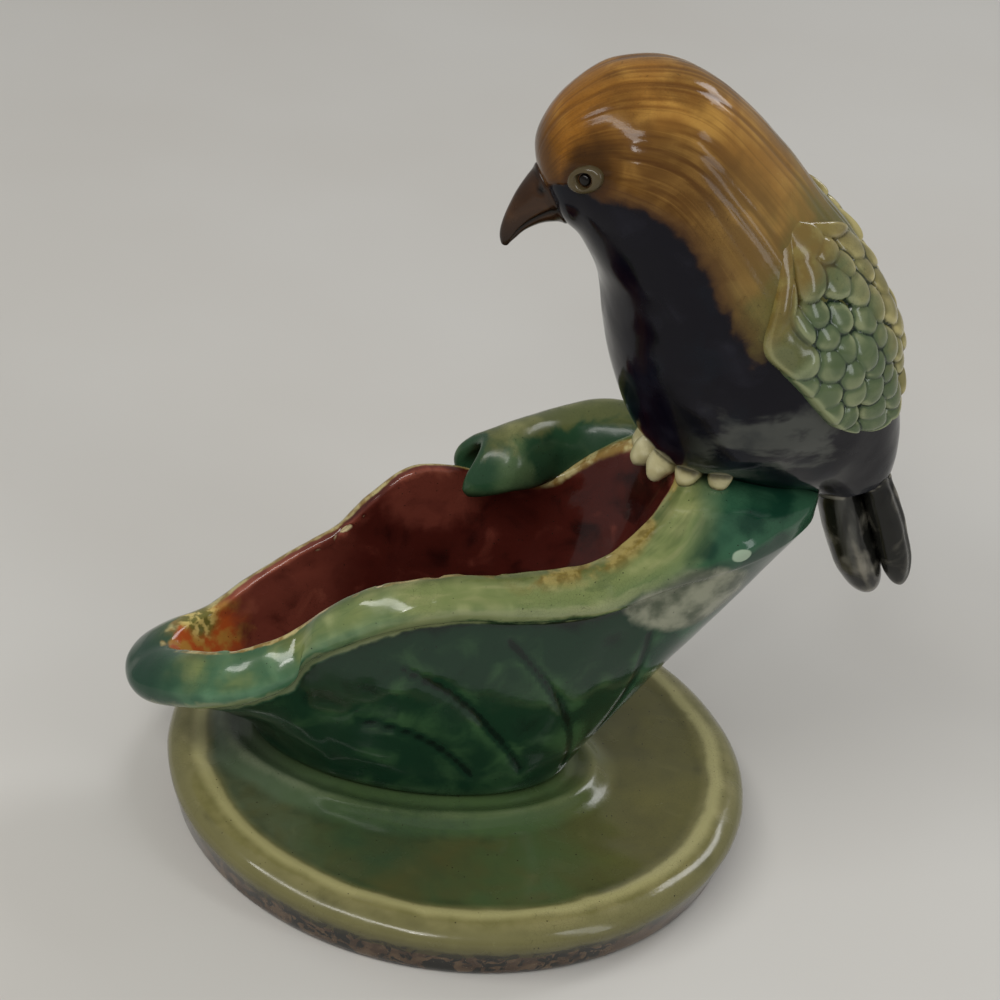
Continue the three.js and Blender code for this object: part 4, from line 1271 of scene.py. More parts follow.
def make_crazing():
    """Fine cracks in the glaze, in patches, as a mask from 0 to 1."""
    tree, given, result = new_group("Crazing", [("Cell", NUMBER, 3.0)], [("Mask", NUMBER)])
    where = scaled_place(tree, given["Cell"])
    wobble = add(tree, "ShaderNodeTexNoise")
    feed(tree, wobble.inputs["Vector"], where)
    wobble.inputs["Scale"].default_value = 0.9
    bent = vectors(tree, "MULTIPLY_ADD", wobble.outputs["Color"], (0.5, 0.5, 0.5), where)
    cells = add(tree, "ShaderNodeTexVoronoi", feature="DISTANCE_TO_EDGE")
    feed(tree, cells.inputs["Vector"], bent)
    line = ranged(tree, cells.outputs["Distance"], 0.028, 0.0)
    feed(tree, result["Mask"], times(tree, line, ranged(tree, noise(tree, 16, 2), 0.44, 0.6)))
    return tree


def make_specks():
    """Iron specks and pinholes in the glaze, as a mask from 0 to 1."""
    inputs = [("Spacing", NUMBER, 3.0), ("Share", NUMBER, 0.3)]
    tree, given, result = new_group("Specks", inputs, [("Mask", NUMBER)])
    cells = add(tree, "ShaderNodeTexVoronoi")
    feed(tree, cells.inputs["Vector"], scaled_place(tree, given["Spacing"]))
    chosen = add(tree, "ShaderNodeSeparateColor")
    feed(tree, chosen.inputs[0], cells.outputs["Color"])
    size = times(tree, chosen.outputs[1], 0.16)
    dot = sums(tree, "LESS_THAN", cells.outputs["Distance"], size)
    kept = sums(tree, "LESS_THAN", chosen.outputs[0], given["Share"])
    feed(tree, result["Mask"], times(tree, dot, kept))
    return tree


def make_surface():
    """How a fired glaze lies: duller and brighter patches, and a soft unevenness with small pits."""
    inputs = [("Gloss", NUMBER, 0.1), ("Dull", NUMBER, 0.3)]
    tree, given, result = new_group("Fired Surface", inputs, [("Roughness", NUMBER), ("Height", NUMBER)])
    patch = ranged(tree, noise(tree, 9, 5), 0.45, 0.75)
    node = add(tree, "ShaderNodeMix", data_type="FLOAT")
    for index, value in ((0, patch), (2, given["Gloss"]), (3, given["Dull"])):
        feed(tree, node.inputs[index], value)
    feed(tree, result["Roughness"], node.outputs[0])
    swell = times(tree, noise(tree, 1.6, 2), 0.6)
    grain = times(tree, noise(tree, 0.35, 2), 0.14)
    feed(tree, result["Height"], plus(tree, swell, grain))
    return tree


MAKERS = {"pooling": make_pooling, "crazing": make_crazing, "specks": make_specks, "surface": make_surface}
EFFECTS = {}


def effect(tree, name, **inputs):
    """A shared effect in a material, with its inputs set."""
    if name not in EFFECTS:
        EFFECTS[name] = MAKERS[name]()
    node = add(tree, "ShaderNodeGroup", node_tree=EFFECTS[name])
    for key, value in inputs.items():
        feed(tree, node.inputs[key.title()], value)
    return node.outputs


def pool(tree, thin, body, deep, patches=0.5, reach=0.12):
    """A glaze's colour from its thin, its usual and its deep one."""
    return effect(tree, "pooling", thin=thin, body=body, deep=deep, patches=patches, reach=reach)["Color"]


def crazed(tree, colour, line, cell):
    return mixed(tree, effect(tree, "crazing", cell=cell)["Mask"], colour, line, most=0.45)


def specked(tree, colour, dot, spacing, share):
    return mixed(tree, effect(tree, "specks", spacing=spacing, share=share)["Mask"], colour, dot)


# Glazes, one for each kind of piece. Colours are written as on a screen.


GLAZE_BUMP = 0.35
GLAZE_SWELL = 0.12
GLAZE_IOR = 1.5
COAT_ROUGHNESS = 0.04
# Places on the figure, in millimetres, where the firing or the brush left something of its own, and where
# painted shadow, painted light, a painted highlight and a painted reflection lie.
# Painted shadow on the dish where the leaf hangs over it.
LEAF_SHADOW = (-24.0, -30.0, 10.0)
TIP_INSIDE = (-54.5, 2.0, 29.5)
TIP_GOLD = (-54.5, 8.5, 31.5)
# Painted light on the bowl's inner far wall.
LIT_FAR_WALL = (-15.0, 16.0, 51.5)
# A small painted highlight on the stalk.
HIGHLIGHT_SPOT = (31.6, -15.6, 61.2)
# A painted reflection on the stalk's wall under the lip.
REFLECTION_PATCH = (24.0, -14.5, 52.5)


def glaze(name, gloss, dull, coat, shine):
    """A glossy glaze. Returns its material, its node tree and its Principled shader, ready for a colour."""
    material = bpy.data.materials.new(name)
    material.use_nodes = True
    tree = material.node_tree
    shader = tree.nodes["Principled BSDF"]
    surface = effect(tree, "surface", gloss=gloss, dull=dull)
    feed(tree, shader.inputs["Roughness"], surface["Roughness"])
    raised = add(tree, "ShaderNodeBump")
    raised.inputs["Strength"].default_value = GLAZE_BUMP
    raised.inputs["Distance"].default_value = GLAZE_SWELL * MM
    feed(tree, raised.inputs["Height"], surface["Height"])
    feed(tree, shader.inputs["Normal"], raised.outputs[0])
    shader.inputs["IOR"].default_value = GLAZE_IOR
    shader.inputs["Specular IOR Level"].default_value = shine
    shader.inputs["Coat Weight"].default_value = coat
    shader.inputs["Coat Roughness"].default_value = COAT_ROUGHNESS
    return material, tree, shader


def dish_colour(tree, right):
    """Dark green, browner to the right and greyer to the left, with a painted shadow below the leaf's tip."""
    green = pool(tree, (104, 118, 82), (69, 90, 54), (50, 66, 40), patches=0.25, reach=0.3)
    brown = pool(tree, (130, 122, 70), (104, 98, 50), (72, 66, 32), patches=0.25, reach=0.3)
    pale = pool(tree, (126, 136, 112), (92, 106, 84), (72, 86, 66), reach=0.3)
    left = ranged(tree, frayed(tree, axis_of(tree, "X"), 16, 12), -26, -54)
    colour = mixed(tree, right, green, brown, most=0.9)
    colour = mixed(tree, left, colour, pale)
    # Painted shadow: the dish is darkened beside the leaf's foot, below its tip.
    return mixed(tree, around_place(tree, LEAF_SHADOW, 13, 10), colour, (48, 66, 48), most=0.6)


def clay_colour(tree, soot):
    """Bare brown clay, black where soot is high and flecked with pale grit."""
    clay = mottled(tree, (66, 48, 34), (94, 74, 54), 2.5, 6, 0.4, 0.62)
    clay = mixed(tree, ranged(tree, soot, 0.5, 0.55), clay, (18, 17, 13))
    return specked(tree, clay, (196, 184, 156), 1.4, 0.4)


def base_glaze():
    """Olive over a dark-green dish, wiped off a brown clay band round the foot, with a painted highlight
    along the rim's crest.
    """
    material, tree, shader = glaze("Olive Glaze", gloss=0.16, dull=0.36, coat=0.2, shine=0.32)
    top = BASE_HIGH[2] - PAD_HEIGHT
    height = axis_of(tree, "Z")
    right = ranged(tree, frayed(tree, axis_of(tree, "X"), 20, 12), 2, 26)
    inward = frayed(tree, marked(tree, "inward"), 9, 1.0)
    lip = mottled(tree, (116, 112, 68), (134, 128, 84), 5, 3, 0.3, 0.7)
    colour = mixed(tree, ranged(tree, inward, 5.8, 9.0), lip, dish_colour(tree, right))
    # Painted highlight: a pale line along the rim's crest, where the light catches the roll.
    crest = times(tree, ranged(tree, inward, 3.4, 5.4), ranged(tree, inward, 7.2, 6.0))
    colour = mixed(tree, crest, colour, (178, 172, 120), most=0.8)
    level = frayed(tree, height, 5.5, 1.6)
    side = pool(tree, (92, 88, 54), (62, 60, 34), (42, 40, 22), patches=0.7)
    ripe = pool(tree, (116, 112, 72), (82, 80, 46), (56, 56, 32), patches=0.7)
    side = mixed(tree, ranged(tree, level, 4.5, top - 0.5), side, ripe)
    over_edge = ranged(tree, frayed(tree, height, 8, 0.5), top - 1.3, top - 0.3)
    colour = crazed(tree, mixed(tree, over_edge, side, colour), (46, 44, 28), 3.6)
    soot = plus(tree, noise(tree, 3.0, 6, distortion=1.2), times(tree, right, -0.12))
    drip = mixed(tree, ranged(tree, soot, 0.42, 0.5), (70, 62, 34), (30, 27, 16))
    colour = mixed(tree, within(tree, level, 4.6, 5.4, 0.7), colour, drip, most=0.8)
    colour = mixed(tree, ranged(tree, level, 4.5, 4.9), clay_colour(tree, soot), colour)
    feed(tree, shader.inputs["Base Color"], specked(tree, colour, (38, 32, 22), 4.0, 0.2))
    return material


def lip_colour(tree, beyond):
    """Over the lip: olive by the mouth, paler along its crest (partly the glaze's own tone, partly a painted
    highlight), teal towards its lower edge and its tip.
    """
    shore = marked(tree, "shore")
    width = minus(tree, shore, marked(tree, "beyond"))
    over = frayed(tree, sums(tree, "DIVIDE", shore, width), 6, 0.12)
    brushed = streaked(tree, shore, 2.6, 0.09)
    olive = pool(tree, (136, 138, 88), (92, 102, 58), (58, 74, 42))
    # The paler crest is partly the glaze's own tone and partly a painted highlight where light catches the
    # roll.
    crest = pool(tree, (164, 166, 112), (118, 130, 78), (80, 100, 60))
    teal = pool(tree, (98, 138, 104), (56, 96, 70), (20, 62, 50))
    towards_tip = ranged(tree, frayed(tree, axis_of(tree, "X"), 12, 12), -22, -52)
    colour = mixed(tree, ranged(tree, over, 0.16, 0.4), olive, crest)
    colour = mixed(tree, ranged(tree, brushed, 0.5, 0.7), colour, (156, 156, 108), most=0.6)
    colour = mixed(tree, ranged(tree, brushed, 0.46, 0.3), colour, (70, 88, 48), most=0.5)
    low = times(tree, ranged(tree, over, 0.5, 0.85), plus(tree, 0.4, towards_tip, clamp=True))
    colour = mixed(tree, low, colour, teal)
    end = times(tree, towards_tip, ranged(tree, noise(tree, 9, 3), 0.36, 0.62))
    colour = mixed(tree, end, colour, teal, most=0.9)
    colour = mixed(tree, ranged(tree, axis_of(tree, "X"), -54, -64), colour, (30, 62, 46))
    rolled = ranged(tree, marked(tree, "perch"), 0.2, 0.0)
    edge = times(tree, within(tree, beyond, -1.1, -0.3, 0.5), rolled)
    return mixed(tree, edge, colour, (150, 154, 112), most=0.5)


def wall_colour(tree):
    """Outside: mottled deep green, teal on the stalk, with dark veins, a painted grey-green reflection under
    the lip and a small painted highlight.
    """
    wall = pool(tree, (56, 88, 56), (22, 52, 35), (7, 26, 20), patches=0.8)
    teal = pool(tree, (50, 90, 66), (20, 58, 42), (8, 36, 30), patches=0.8)
    grey = mottled(tree, (78, 86, 68), (146, 148, 128), 5, 4, 0.35, 0.65)
    colour = mixed(tree, ranged(tree, marked(tree, "perch"), 0.1, 0.7), wall, teal)
    colour = mixed(tree, marked(tree, "vein"), colour, (8, 26, 19), most=0.35)
    # Painted reflection: a pale grey-green patch under the lip, standing in for a window seen in the glaze.
    colour = mixed(tree, around_place(tree, REFLECTION_PATCH, 9.5, 1.2, (0.85, 0.9, 1.35)), colour, grey)
    # Painted highlight: a small pale oval on the stalk.
    return mixed(tree, around_place(tree, HIGHLIGHT_SPOT, 1.6, 0.2, (0.9, 0.9, 1.4)), colour, (156, 176, 152))


def bowl_colour(tree):
    """Inside: oxblood with painted light as paler salmon towards the tip and on the far wall, and orange with
    gold at the tip itself.
    """
    fired = pool(tree, (118, 58, 46), (70, 26, 20), (36, 12, 10), patches=1.0)
    lit_salmon = pool(tree, (160, 92, 72), (116, 58, 46), (72, 30, 24), patches=1.0)
    orange = mottled(tree, (176, 84, 38), (176, 128, 58), 3, 4, 0.4, 0.6)
    left = ranged(tree, frayed(tree, axis_of(tree, "X"), 12, 8), -24, -38)
    # Painted light: paler salmon where light falls inside the bowl, towards the tip and on the far wall.
    colour = mixed(tree, left, fired, lit_salmon)
    colour = mixed(tree, around_place(tree, LIT_FAR_WALL, 6.0, 2.0, (0.75, 0.6, 1.1)), colour, lit_salmon, most=0.8)
    return mixed(tree, around_place(tree, TIP_INSIDE, 11, 3), colour, orange)


def gilded(tree, colour, shore, far, behind):
    """Gold along the mouth's edge, duller on the near side, broad where rubbed and flecked at the tip."""
    ahead = axis_of(tree, "X")
    near_side = times(tree, minus(tree, 1.0, far), ranged(tree, ahead, -26, -14))
    rubbed = times(tree, near_side, within(tree, ahead, -6, 14, 7))
    bright = mottled(tree, (140, 112, 56), (190, 176, 122), 2.2, 4, 0.4, 0.62)
    dull = mottled(tree, (118, 102, 48), (160, 144, 84), 2.6, 4, 0.4, 0.6)
    width = plus(tree, plus(tree, 0.75, minus(tree, far, behind)), times(tree, rubbed, 2.6))
    from_edge = sums(tree, "ABSOLUTE", minus(tree, shore, 0.6))
    worn = ranged(tree, sums(tree, "DIVIDE", from_edge, width), 1.4, 0.6)
    patchy = ranged(tree, noise(tree, 7, 4), 0.4, 0.52)
    worn = times(tree, worn, sums(tree, "MAXIMUM", patchy, times(tree, far, 0.9)))
    colour = mixed(tree, worn, colour, mixed(tree, near_side, bright, dull))
    flecks = mottled(tree, (112, 108, 52), (206, 186, 112), 1.5, 4, 0.45, 0.6)
    return mixed(tree, around_place(tree, TIP_GOLD, 3.5, 1.6), colour, flecks)


def leaf_glaze():
    """Mottled deep green outside and oxblood inside, with a pale olive lip worn to gold along its edge."""
    material, tree, shader = glaze("Leaf Glaze", gloss=0.09, dull=0.3, coat=0.25, shine=0.26)
    ahead = axis_of(tree, "X")
    far = ranged(tree, axis_of(tree, "Y"), 2.0, 8.0)
    behind = times(tree, far, ranged(tree, ahead, 4.0, -6.0))
    beyond = frayed(tree, marked(tree, "beyond"), 5, 1.2)
    beyond = plus(tree, beyond, times(tree, ranged(tree, ahead, -36, -20), 2.0))
    spread = plus(tree, 0.6, times(tree, marked(tree, "perch"), 7.0))
    outside = ranged(tree, sums(tree, "DIVIDE", beyond, spread), -0.6, 0.8)
    colour = mixed(tree, outside, lip_colour(tree, beyond), wall_colour(tree))
    shore = frayed(tree, marked(tree, "shore"), 2.6, 0.6)
    shore = minus(tree, shore, times(tree, behind, 1.5))
    colour = mixed(tree, ranged(tree, shore, 0.5, -0.3), colour, bowl_colour(tree))
    colour = gilded(tree, colour, shore, far, behind)
    colour = mixed(tree, ranged(tree, marked(tree, "chip"), 0.25, 0.6), colour, (206, 190, 146))
    colour = crazed(tree, colour, (20, 26, 18), 3.2)
    feed(tree, shader.inputs["Base Color"], specked(tree, colour, (24, 26, 18), 3.4, 0.22))
    return material


def fold_glaze():
    """Deep green, darker on faces that look down (painted shade) and olive on those that look up (partly
    glaze breaking over the top of the roll, partly painted light).
    """
    material, tree, shader = glaze("Fold Glaze", gloss=0.2, dull=0.4, coat=0.06, shine=0.24)
    body = pool(tree, (80, 102, 68), (40, 70, 47), (18, 42, 28), patches=0.8)
    top = pool(tree, (134, 134, 88), (90, 96, 58), (52, 62, 36), patches=0.7)
    normal = add(tree, "ShaderNodeNewGeometry").outputs["Normal"]
    upward = frayed(tree, part_of(tree, normal, "Z"), 4, 0.4)
    # Painted shade: faces that look down are darkened.
    colour = mixed(tree, ranged(tree, upward, 0.1, -0.5), body, (20, 28, 14), most=0.8)
    # Olive on faces that look up: partly glaze breaking over the roll, partly painted light.
    colour = mixed(tree, ranged(tree, upward, 0.6, 0.9), colour, top)
    colour = mixed(tree, ranged(tree, marked(tree, "edge"), 0.3, 0.9), colour, (126, 118, 74))
    colour = crazed(tree, colour, (20, 28, 16), 3.0)
    feed(tree, shader.inputs["Base Color"], specked(tree, colour, (24, 28, 18), 3.0, 0.25))
    return material


def belly_colour(tree):
    """Below the mantle: blue-black with milky grey painted over the belly as reflections."""
    dark = pool(tree, (36, 36, 46), (10, 9, 19), (4, 4, 10))
    ahead, height = axis_of(tree, "X"), axis_of(tree, "Z")
    # Painted reflections: milky grey streaks over the lower belly, kept behind the toes.
    milky = ranged(tree, streaked(tree, height, 6.0, 0.09, 4.0), 0.45, 0.58)
    milky = times(tree, milky, within(tree, frayed(tree, height, 9, 7), 72, 88, 4))
    behind_toes = times(tree, ranged(tree, ahead, 19, 27), ranged(tree, ahead, 52, 42))
    colour = mixed(tree, times(tree, milky, behind_toes), dark, (76, 78, 74), most=0.9)
    return mixed(tree, ranged(tree, noise(tree, 8, 3), 0.5, 0.7), colour, (12, 20, 30), most=0.5)


def mantle_colour(tree):
    """Amber with burnt patches and fine strokes, browner down the sides, olive behind, dark in the face."""
    share, flow = marked(tree, "along"), marked(tree, "flow")
    cap = pool(tree, (172, 124, 52), (140, 92, 32), (96, 58, 18), patches=0.7)
    gold = pool(tree, (180, 136, 66), (148, 102, 44), (100, 62, 24), patches=0.7)
    brown = pool(tree, (146, 110, 56), (104, 74, 34), (68, 42, 18), patches=0.8)
    amber = mixed(tree, ranged(tree, frayed(tree, flow, 12, 14), 30, 62), gold, brown)
    colour = mixed(tree, ranged(tree, share, 0.16, 0.36), cap, amber)
    burnt = times(tree, ranged(tree, noise(tree, 11, 4), 0.46, 0.62), ranged(tree, share, 0.14, 0.24))
    colour = mixed(tree, burnt, colour, (84, 54, 22), most=0.5)
    fine = streaked(tree, flow, 1.1, 0.06, 4.0)
    colour = mixed(tree, ranged(tree, fine, 0.52, 0.72), colour, (82, 50, 20), most=0.38)
    colour = mixed(tree, ranged(tree, fine, 0.44, 0.28), colour, (176, 136, 70), most=0.2)
    colour = mixed(tree, marked(tree, "streak"), colour, (76, 46, 20))
    forehead = ranged(tree, frayed(tree, share, 6, 0.03), 0.17, 0.09)
    face = ranged(tree, frayed(tree, marked(tree, "from_eye"), 5, 3), 12, 5)
    face = sums(tree, "MAXIMUM", face, times(tree, forehead, 0.8))
    colour = mixed(tree, face, colour, (48, 30, 14), most=0.9)
    colour = mixed(tree, ranged(tree, share, 0.38, 0.48), colour, (146, 120, 72), most=0.35)
    return mixed(tree, ranged(tree, frayed(tree, share, 5, 0.04), 0.47, 0.57), colour, (102, 100, 56))


def plumage_glaze():
    """Amber mantle brushed with brown over a blue-black body."""
    material, tree, shader = glaze("Plumage Glaze", gloss=0.12, dull=0.3, coat=0.08, shine=0.14)
    inside = frayed(tree, marked(tree, "mantle"), 3, 1.6)
    colour = mixed(tree, ranged(tree, inside, -0.8, 1.0), belly_colour(tree), mantle_colour(tree))
    ring = times(tree, ranged(tree, inside, -1.2, 0.2), ranged(tree, inside, 3.6, 0.8))
    colour = mixed(tree, ring, colour, (62, 36, 16), most=0.6)
    feed(tree, shader.inputs["Base Color"], crazed(tree, colour, (16, 10, 8), 2.8))
    return material


def wing_glaze():
    """Sage scales with dark green between them, a painted gold highlight along the back's edge and amber at
    the shoulder.
    """
    material, tree, shader = glaze("Sage Glaze", gloss=0.14, dull=0.34, coat=0.2, shine=0.35)
    sage = pool(tree, (134, 142, 104), (82, 98, 66), (22, 42, 26), reach=0.09)
    gold = pool(tree, (186, 174, 118), (132, 124, 78), (54, 58, 34), reach=0.09)
    band = pool(tree, (138, 136, 90), (98, 98, 58), (50, 60, 34), reach=0.14)
    amber = mottled(tree, (118, 96, 46), (132, 116, 62), 3, 3, 0.4, 0.6)
    across = frayed(tree, marked(tree, "across"), 4, 0.14)
    share = frayed(tree, marked(tree, "along"), 5, 0.08)
    # Painted highlight: gold-yellow along the wing's upper edge at the back.
    colour = mixed(tree, ranged(tree, across, 0.5, 0.15), sage, gold)
    colour = mixed(tree, marked(tree, "band"), colour, band, most=0.75)
    colour = mixed(tree, ranged(tree, share, 0.32, 0.14), colour, amber)
    feed(tree, shader.inputs["Base Color"], crazed(tree, colour, (16, 28, 18), 2.6))
    return material


def beak_glaze():
    """Brown horn, darker towards the tip and nearly black in the gape and the nostril."""
    material, tree, shader = glaze("Beak Glaze", gloss=0.18, dull=0.38, coat=0.1, shine=0.25)
    horn = pool(tree, (96, 66, 42), (52, 34, 22), (18, 12, 10), patches=0.7)
    colour = mixed(tree, ranged(tree, marked(tree, "along"), 0.5, 1.0), horn, (24, 20, 16), most=0.6)
    colour = mixed(tree, marked(tree, "gape"), colour, (10, 8, 8))
    feed(tree, shader.inputs["Base Color"], crazed(tree, colour, (12, 8, 8), 2.0))
    return material


def eye_glaze():
    """Khaki that runs brown into the ring's hole."""
    material, tree, shader = glaze("Eye Glaze", gloss=0.2, dull=0.38, coat=0.1, shine=0.3)
    khaki = pool(tree, (128, 116, 82), (76, 66, 44), (34, 26, 16), patches=0.6)
    feed(tree, shader.inputs["Base Color"], crazed(tree, khaki, (40, 34, 22), 1.6))
    return material


def pupil_glaze():
    """Warm black."""
    material, tree, shader = glaze("Black Glaze", gloss=0.2, dull=0.3, coat=0.1, shine=0.25)
    feed(tree, shader.inputs["Base Color"], pool(tree, (30, 22, 18), (12, 8, 6), (5, 4, 4)))
    return material


def toe_glaze():
    """Glossy cream with olive that creeps up from the joints."""
    material, tree, shader = glaze("Toe Glaze", gloss=0.12, dull=0.34, coat=0.4, shine=0.5)
    cream = pool(tree, (214, 208, 168), (184, 176, 132), (104, 94, 54), patches=0.9)
    creep = ranged(tree, frayed(tree, marked(tree, "joint"), 1.5, 0.3), 0.4, 1.0)
    colour = mixed(tree, creep, cream, (72, 70, 38))
    feed(tree, shader.inputs["Base Color"], crazed(tree, colour, (60, 50, 28), 1.8))
    return material


def tail_glaze():
    """Black that thins to grey along the ridges, with milky streaks."""
    material, tree, shader = glaze("Tail Glaze", gloss=0.16, dull=0.36, coat=0.12, shine=0.25)
    black = pool(tree, (128, 124, 112), (24, 24, 21), (6, 6, 7), patches=0.9, reach=0.07)
    milky = ranged(tree, streaked(tree, axis_of(tree, "Y"), 3.0, 0.1), 0.55, 0.66)
    colour = mixed(tree, milky, black, (98, 98, 92), most=0.5)
    feed(tree, shader.inputs["Base Color"], crazed(tree, colour, (6, 6, 6), 2.6))
    return material


# Stage


CAMERA_TARGET = np.array([-9.83, -13.7, 70.0])
CAMERA_AZIMUTH = math.radians(-13)
CAMERA_ELEVATION = math.radians(31.5)
CAMERA_ROLL = math.radians(8)
CAMERA_DISTANCE = 480.0
CAMERA_LENS = 107.24
SENSOR_WIDTH = 36.0
LAMP_TARGET = np.array([0.0, 0.0, 60.0])
FLOOR_RADIUS = 3000.0


def aim(item, target, roll=0.0):
    """Points a camera or a lamp at a target and turns it about its own line of sight."""
    turned = (Vector(target * MM) - item.location).to_track_quat("-Z", "Y").to_euler()
    turned.rotate_axis("Z", roll)
    item.rotation_euler = turned


def add_camera():
    """Sets the camera where the photo was taken from."""
    level = np.array([math.sin(CAMERA_AZIMUTH), -math.cos(CAMERA_AZIMUTH), 0])
    back = level * math.cos(CAMERA_ELEVATION) + UP * math.sin(CAMERA_ELEVATION)
    deselect()
    bpy.ops.object.camera_add(location=Vector((CAMERA_TARGET + back * CAMERA_DISTANCE) * MM))
    camera = bpy.context.object
    camera.name = "PhotoCamera"
    aim(camera, CAMERA_TARGET, roll=CAMERA_ROLL)
    camera.data.lens = CAMERA_LENS
    camera.data.sensor_width = SENSOR_WIDTH
    camera.data.clip_start = 10 * MM
    bpy.context.scene.camera = camera


def add_lamp(name, at, size, power, colour):
    """A soft rectangular light. Its place and size are in millimetres."""
    deselect()
    bpy.ops.object.light_add(type="AREA", location=Vector(at) * MM)
    lamp = bpy.context.object
    lamp.name = name
    lamp.data.shape = "RECTANGLE"
    lamp.data.size, lamp.data.size_y = (length * MM for length in size)
    lamp.data.energy = power
    lamp.data.color = colour
    aim(lamp, LAMP_TARGET)


def add_floor():
    """Lays a plain pale floor under the figure."""
    deselect()
    bpy.ops.mesh.primitive_circle_add(vertices=96, radius=FLOOR_RADIUS * MM, fill_type="NGON")
    floor = bpy.context.object
    floor.name = "Floor"
    material = bpy.data.materials.new("Pale Floor")
    material.use_nodes = True
    tree = material.node_tree
    shader = tree.nodes["Principled BSDF"]
    shader.inputs["Roughness"].default_value = 0.7
    cloudy = mottled(tree, (206, 203, 197), (210, 208, 203), 120, 3, 0.3, 0.7)
    feed(tree, shader.inputs["Base Color"], cloudy)
    paint(floor, material)


def add_world(strength):
    world = bpy.data.worlds.new("Studio")
    world.use_nodes = True
    bpy.context.scene.world = world
    background = world.node_tree.nodes["Background"]
    background.inputs["Color"].default_value = rgb(214, 214, 212)
    background.inputs["Strength"].default_value = strength


# Settings


class MajolicaGlaze(bpy.types.PropertyGroup):
    pool_reach: bpy.props.FloatProperty(
        name="Joint Reach",
        description="How far glaze creeps up from a joint",
        default=0.0012,
        unit="LENGTH",
    )
    pool_rise: bpy.props.FloatProperty(
        name="Joint Rise",
        description="How thick glaze lies in a joint",
        default=0.0004,
        unit="LENGTH",
    )


class MajolicaTail(bpy.types.PropertyGroup):
    under_grooves: bpy.props.IntProperty(
        name="Under Grooves",
        description="Furrows across half the under feather",
        default=1,
        subtype="UNSIGNED",
    )
    upper_grooves: bpy.props.IntProperty(
        name="Upper Grooves",
        description="Furrows across half a slim feather",
        default=2,
        subtype="UNSIGNED",
    )
    groove_depth: bpy.props.FloatProperty(
        name="Groove Depth",
        description="How deep the furrows are cut",
        default=0.0004,
        unit="LENGTH",
    )


class MajolicaStage(bpy.types.PropertyGroup):
    key_power: bpy.props.FloatProperty(
        name="Key",
        description="Power of the main soft light",
        default=3.6,
        unit="POWER",
    )
    fill_power: bpy.props.FloatProperty(
        name="Fill",
        description="Power of the side light",
        default=1.2,
        unit="POWER",
    )
    rim_power: bpy.props.FloatProperty(
        name="Rim",
        description="Power of the light behind",
        default=1.4,
        unit="POWER",
    )
    sparkle_power: bpy.props.FloatProperty(
        name="Sparkle",
        description="Power of the small light that sets highlights",
        default=0.25,
        unit="POWER",
    )
    sky: bpy.props.FloatProperty(
        name="Sky",
        description="Strength of the even light",
        default=0.45,
        subtype="FACTOR",
    )


SETTINGS = {"majolica_glaze": MajolicaGlaze, "majolica_tail": MajolicaTail, "majolica_stage": MajolicaStage}


# Operators


def fill_joints(piece, names, share=1.0):
    """Fills the corners where a piece meets the named pieces, to a share of the settings' rise."""
    settings = bpy.context.scene.majolica_glaze
    others = [bpy.data.objects[name] for name in names]
    pool_against(piece, others, settings.pool_reach / MM, share * settings.pool_rise / MM)


class MAJOLICA_OT_base(bpy.types.Operator):
    """Builds the round base"""

    bl_idname = "majolica.base"
    bl_label = "Base"

    def execute(self, context):
        piece = build_base()
        from_middle = (points_of(piece) - BASE_MIDDLE)[:, :2]
        keep_values(piece, "inward", BASE_RADIUS - np.hypot(*from_middle.T))
        mark_hollows(piece)
        settle(piece, base_glaze(), "olive_glaze", "base")
        return {"FINISHED"}


class MAJOLICA_OT_leaf(bpy.types.Operator):
    """Builds the leaf bowl and its folded lobe"""

    bl_idname = "majolica.leaf"
    bl_label = "Leaf Bowl"

    def execute(self, context):
        bowl = build_leaf_bowl()
        fill_joints(bowl, ["base_glazed"])
        mark_hollows(bowl)
        settle(bowl, leaf_glaze(), "leaf_glaze", "leaf_bowl")
        fold = build_leaf_fold()
        mark_hollows(fold)
        settle(fold, fold_glaze(), "leaf_glaze", "leaf_fold")
        return {"FINISHED"}


class MAJOLICA_OT_body(bpy.types.Operator):
    """Builds the bird's body and beak"""

    bl_idname = "majolica.body"
    bl_label = "Body and Beak"

    def execute(self, context):
        body = build_bird_body()
        fill_joints(body, ["leaf_bowl_glazed"])
        mark_hollows(body)
        settle(body, plumage_glaze(), "plumage_glaze", "bird_body")
        beak = build_beak()
        fill_joints(beak, ["bird_body_glazed"])
        mark_hollows(beak)
        settle(beak, beak_glaze(), "beak_glaze", "beak")
        return {"FINISHED"}


class MAJOLICA_OT_wings(bpy.types.Operator):
    """Builds the two feathered wings"""

    bl_idname = "majolica.wings"
    bl_label = "Wings"

    def execute(self, context):
        material = wing_glaze()
        for name, side in (("wing_near", 1), ("wing_far", -1)):
            settle(build_wing(f"{name}_glazed", side), material, "sage_glaze", name)
        return {"FINISHED"}


class MAJOLICA_OT_eyes(bpy.types.Operator):
    """Builds the eyes' rings and pupils"""

    bl_idname = "majolica.eyes"
    bl_label = "Eyes"

    def execute(self, context):
        ring_material, pupil_material = eye_glaze(), pupil_glaze()
        for end, side in (("near", 1), ("far", -1)):
            ring = build_eye_ring(f"eye_ring_{end}_glazed", side)
            mark_hollows(ring, 4)
            settle(ring, ring_material, "eye_glaze", f"eye_ring_{end}")
            pupil = build_pupil(f"pupil_{end}_glazed", side)
            mark_hollows(pupil, 4)
            settle(pupil, pupil_material, "black_glaze", f"pupil_{end}")
        return {"FINISHED"}


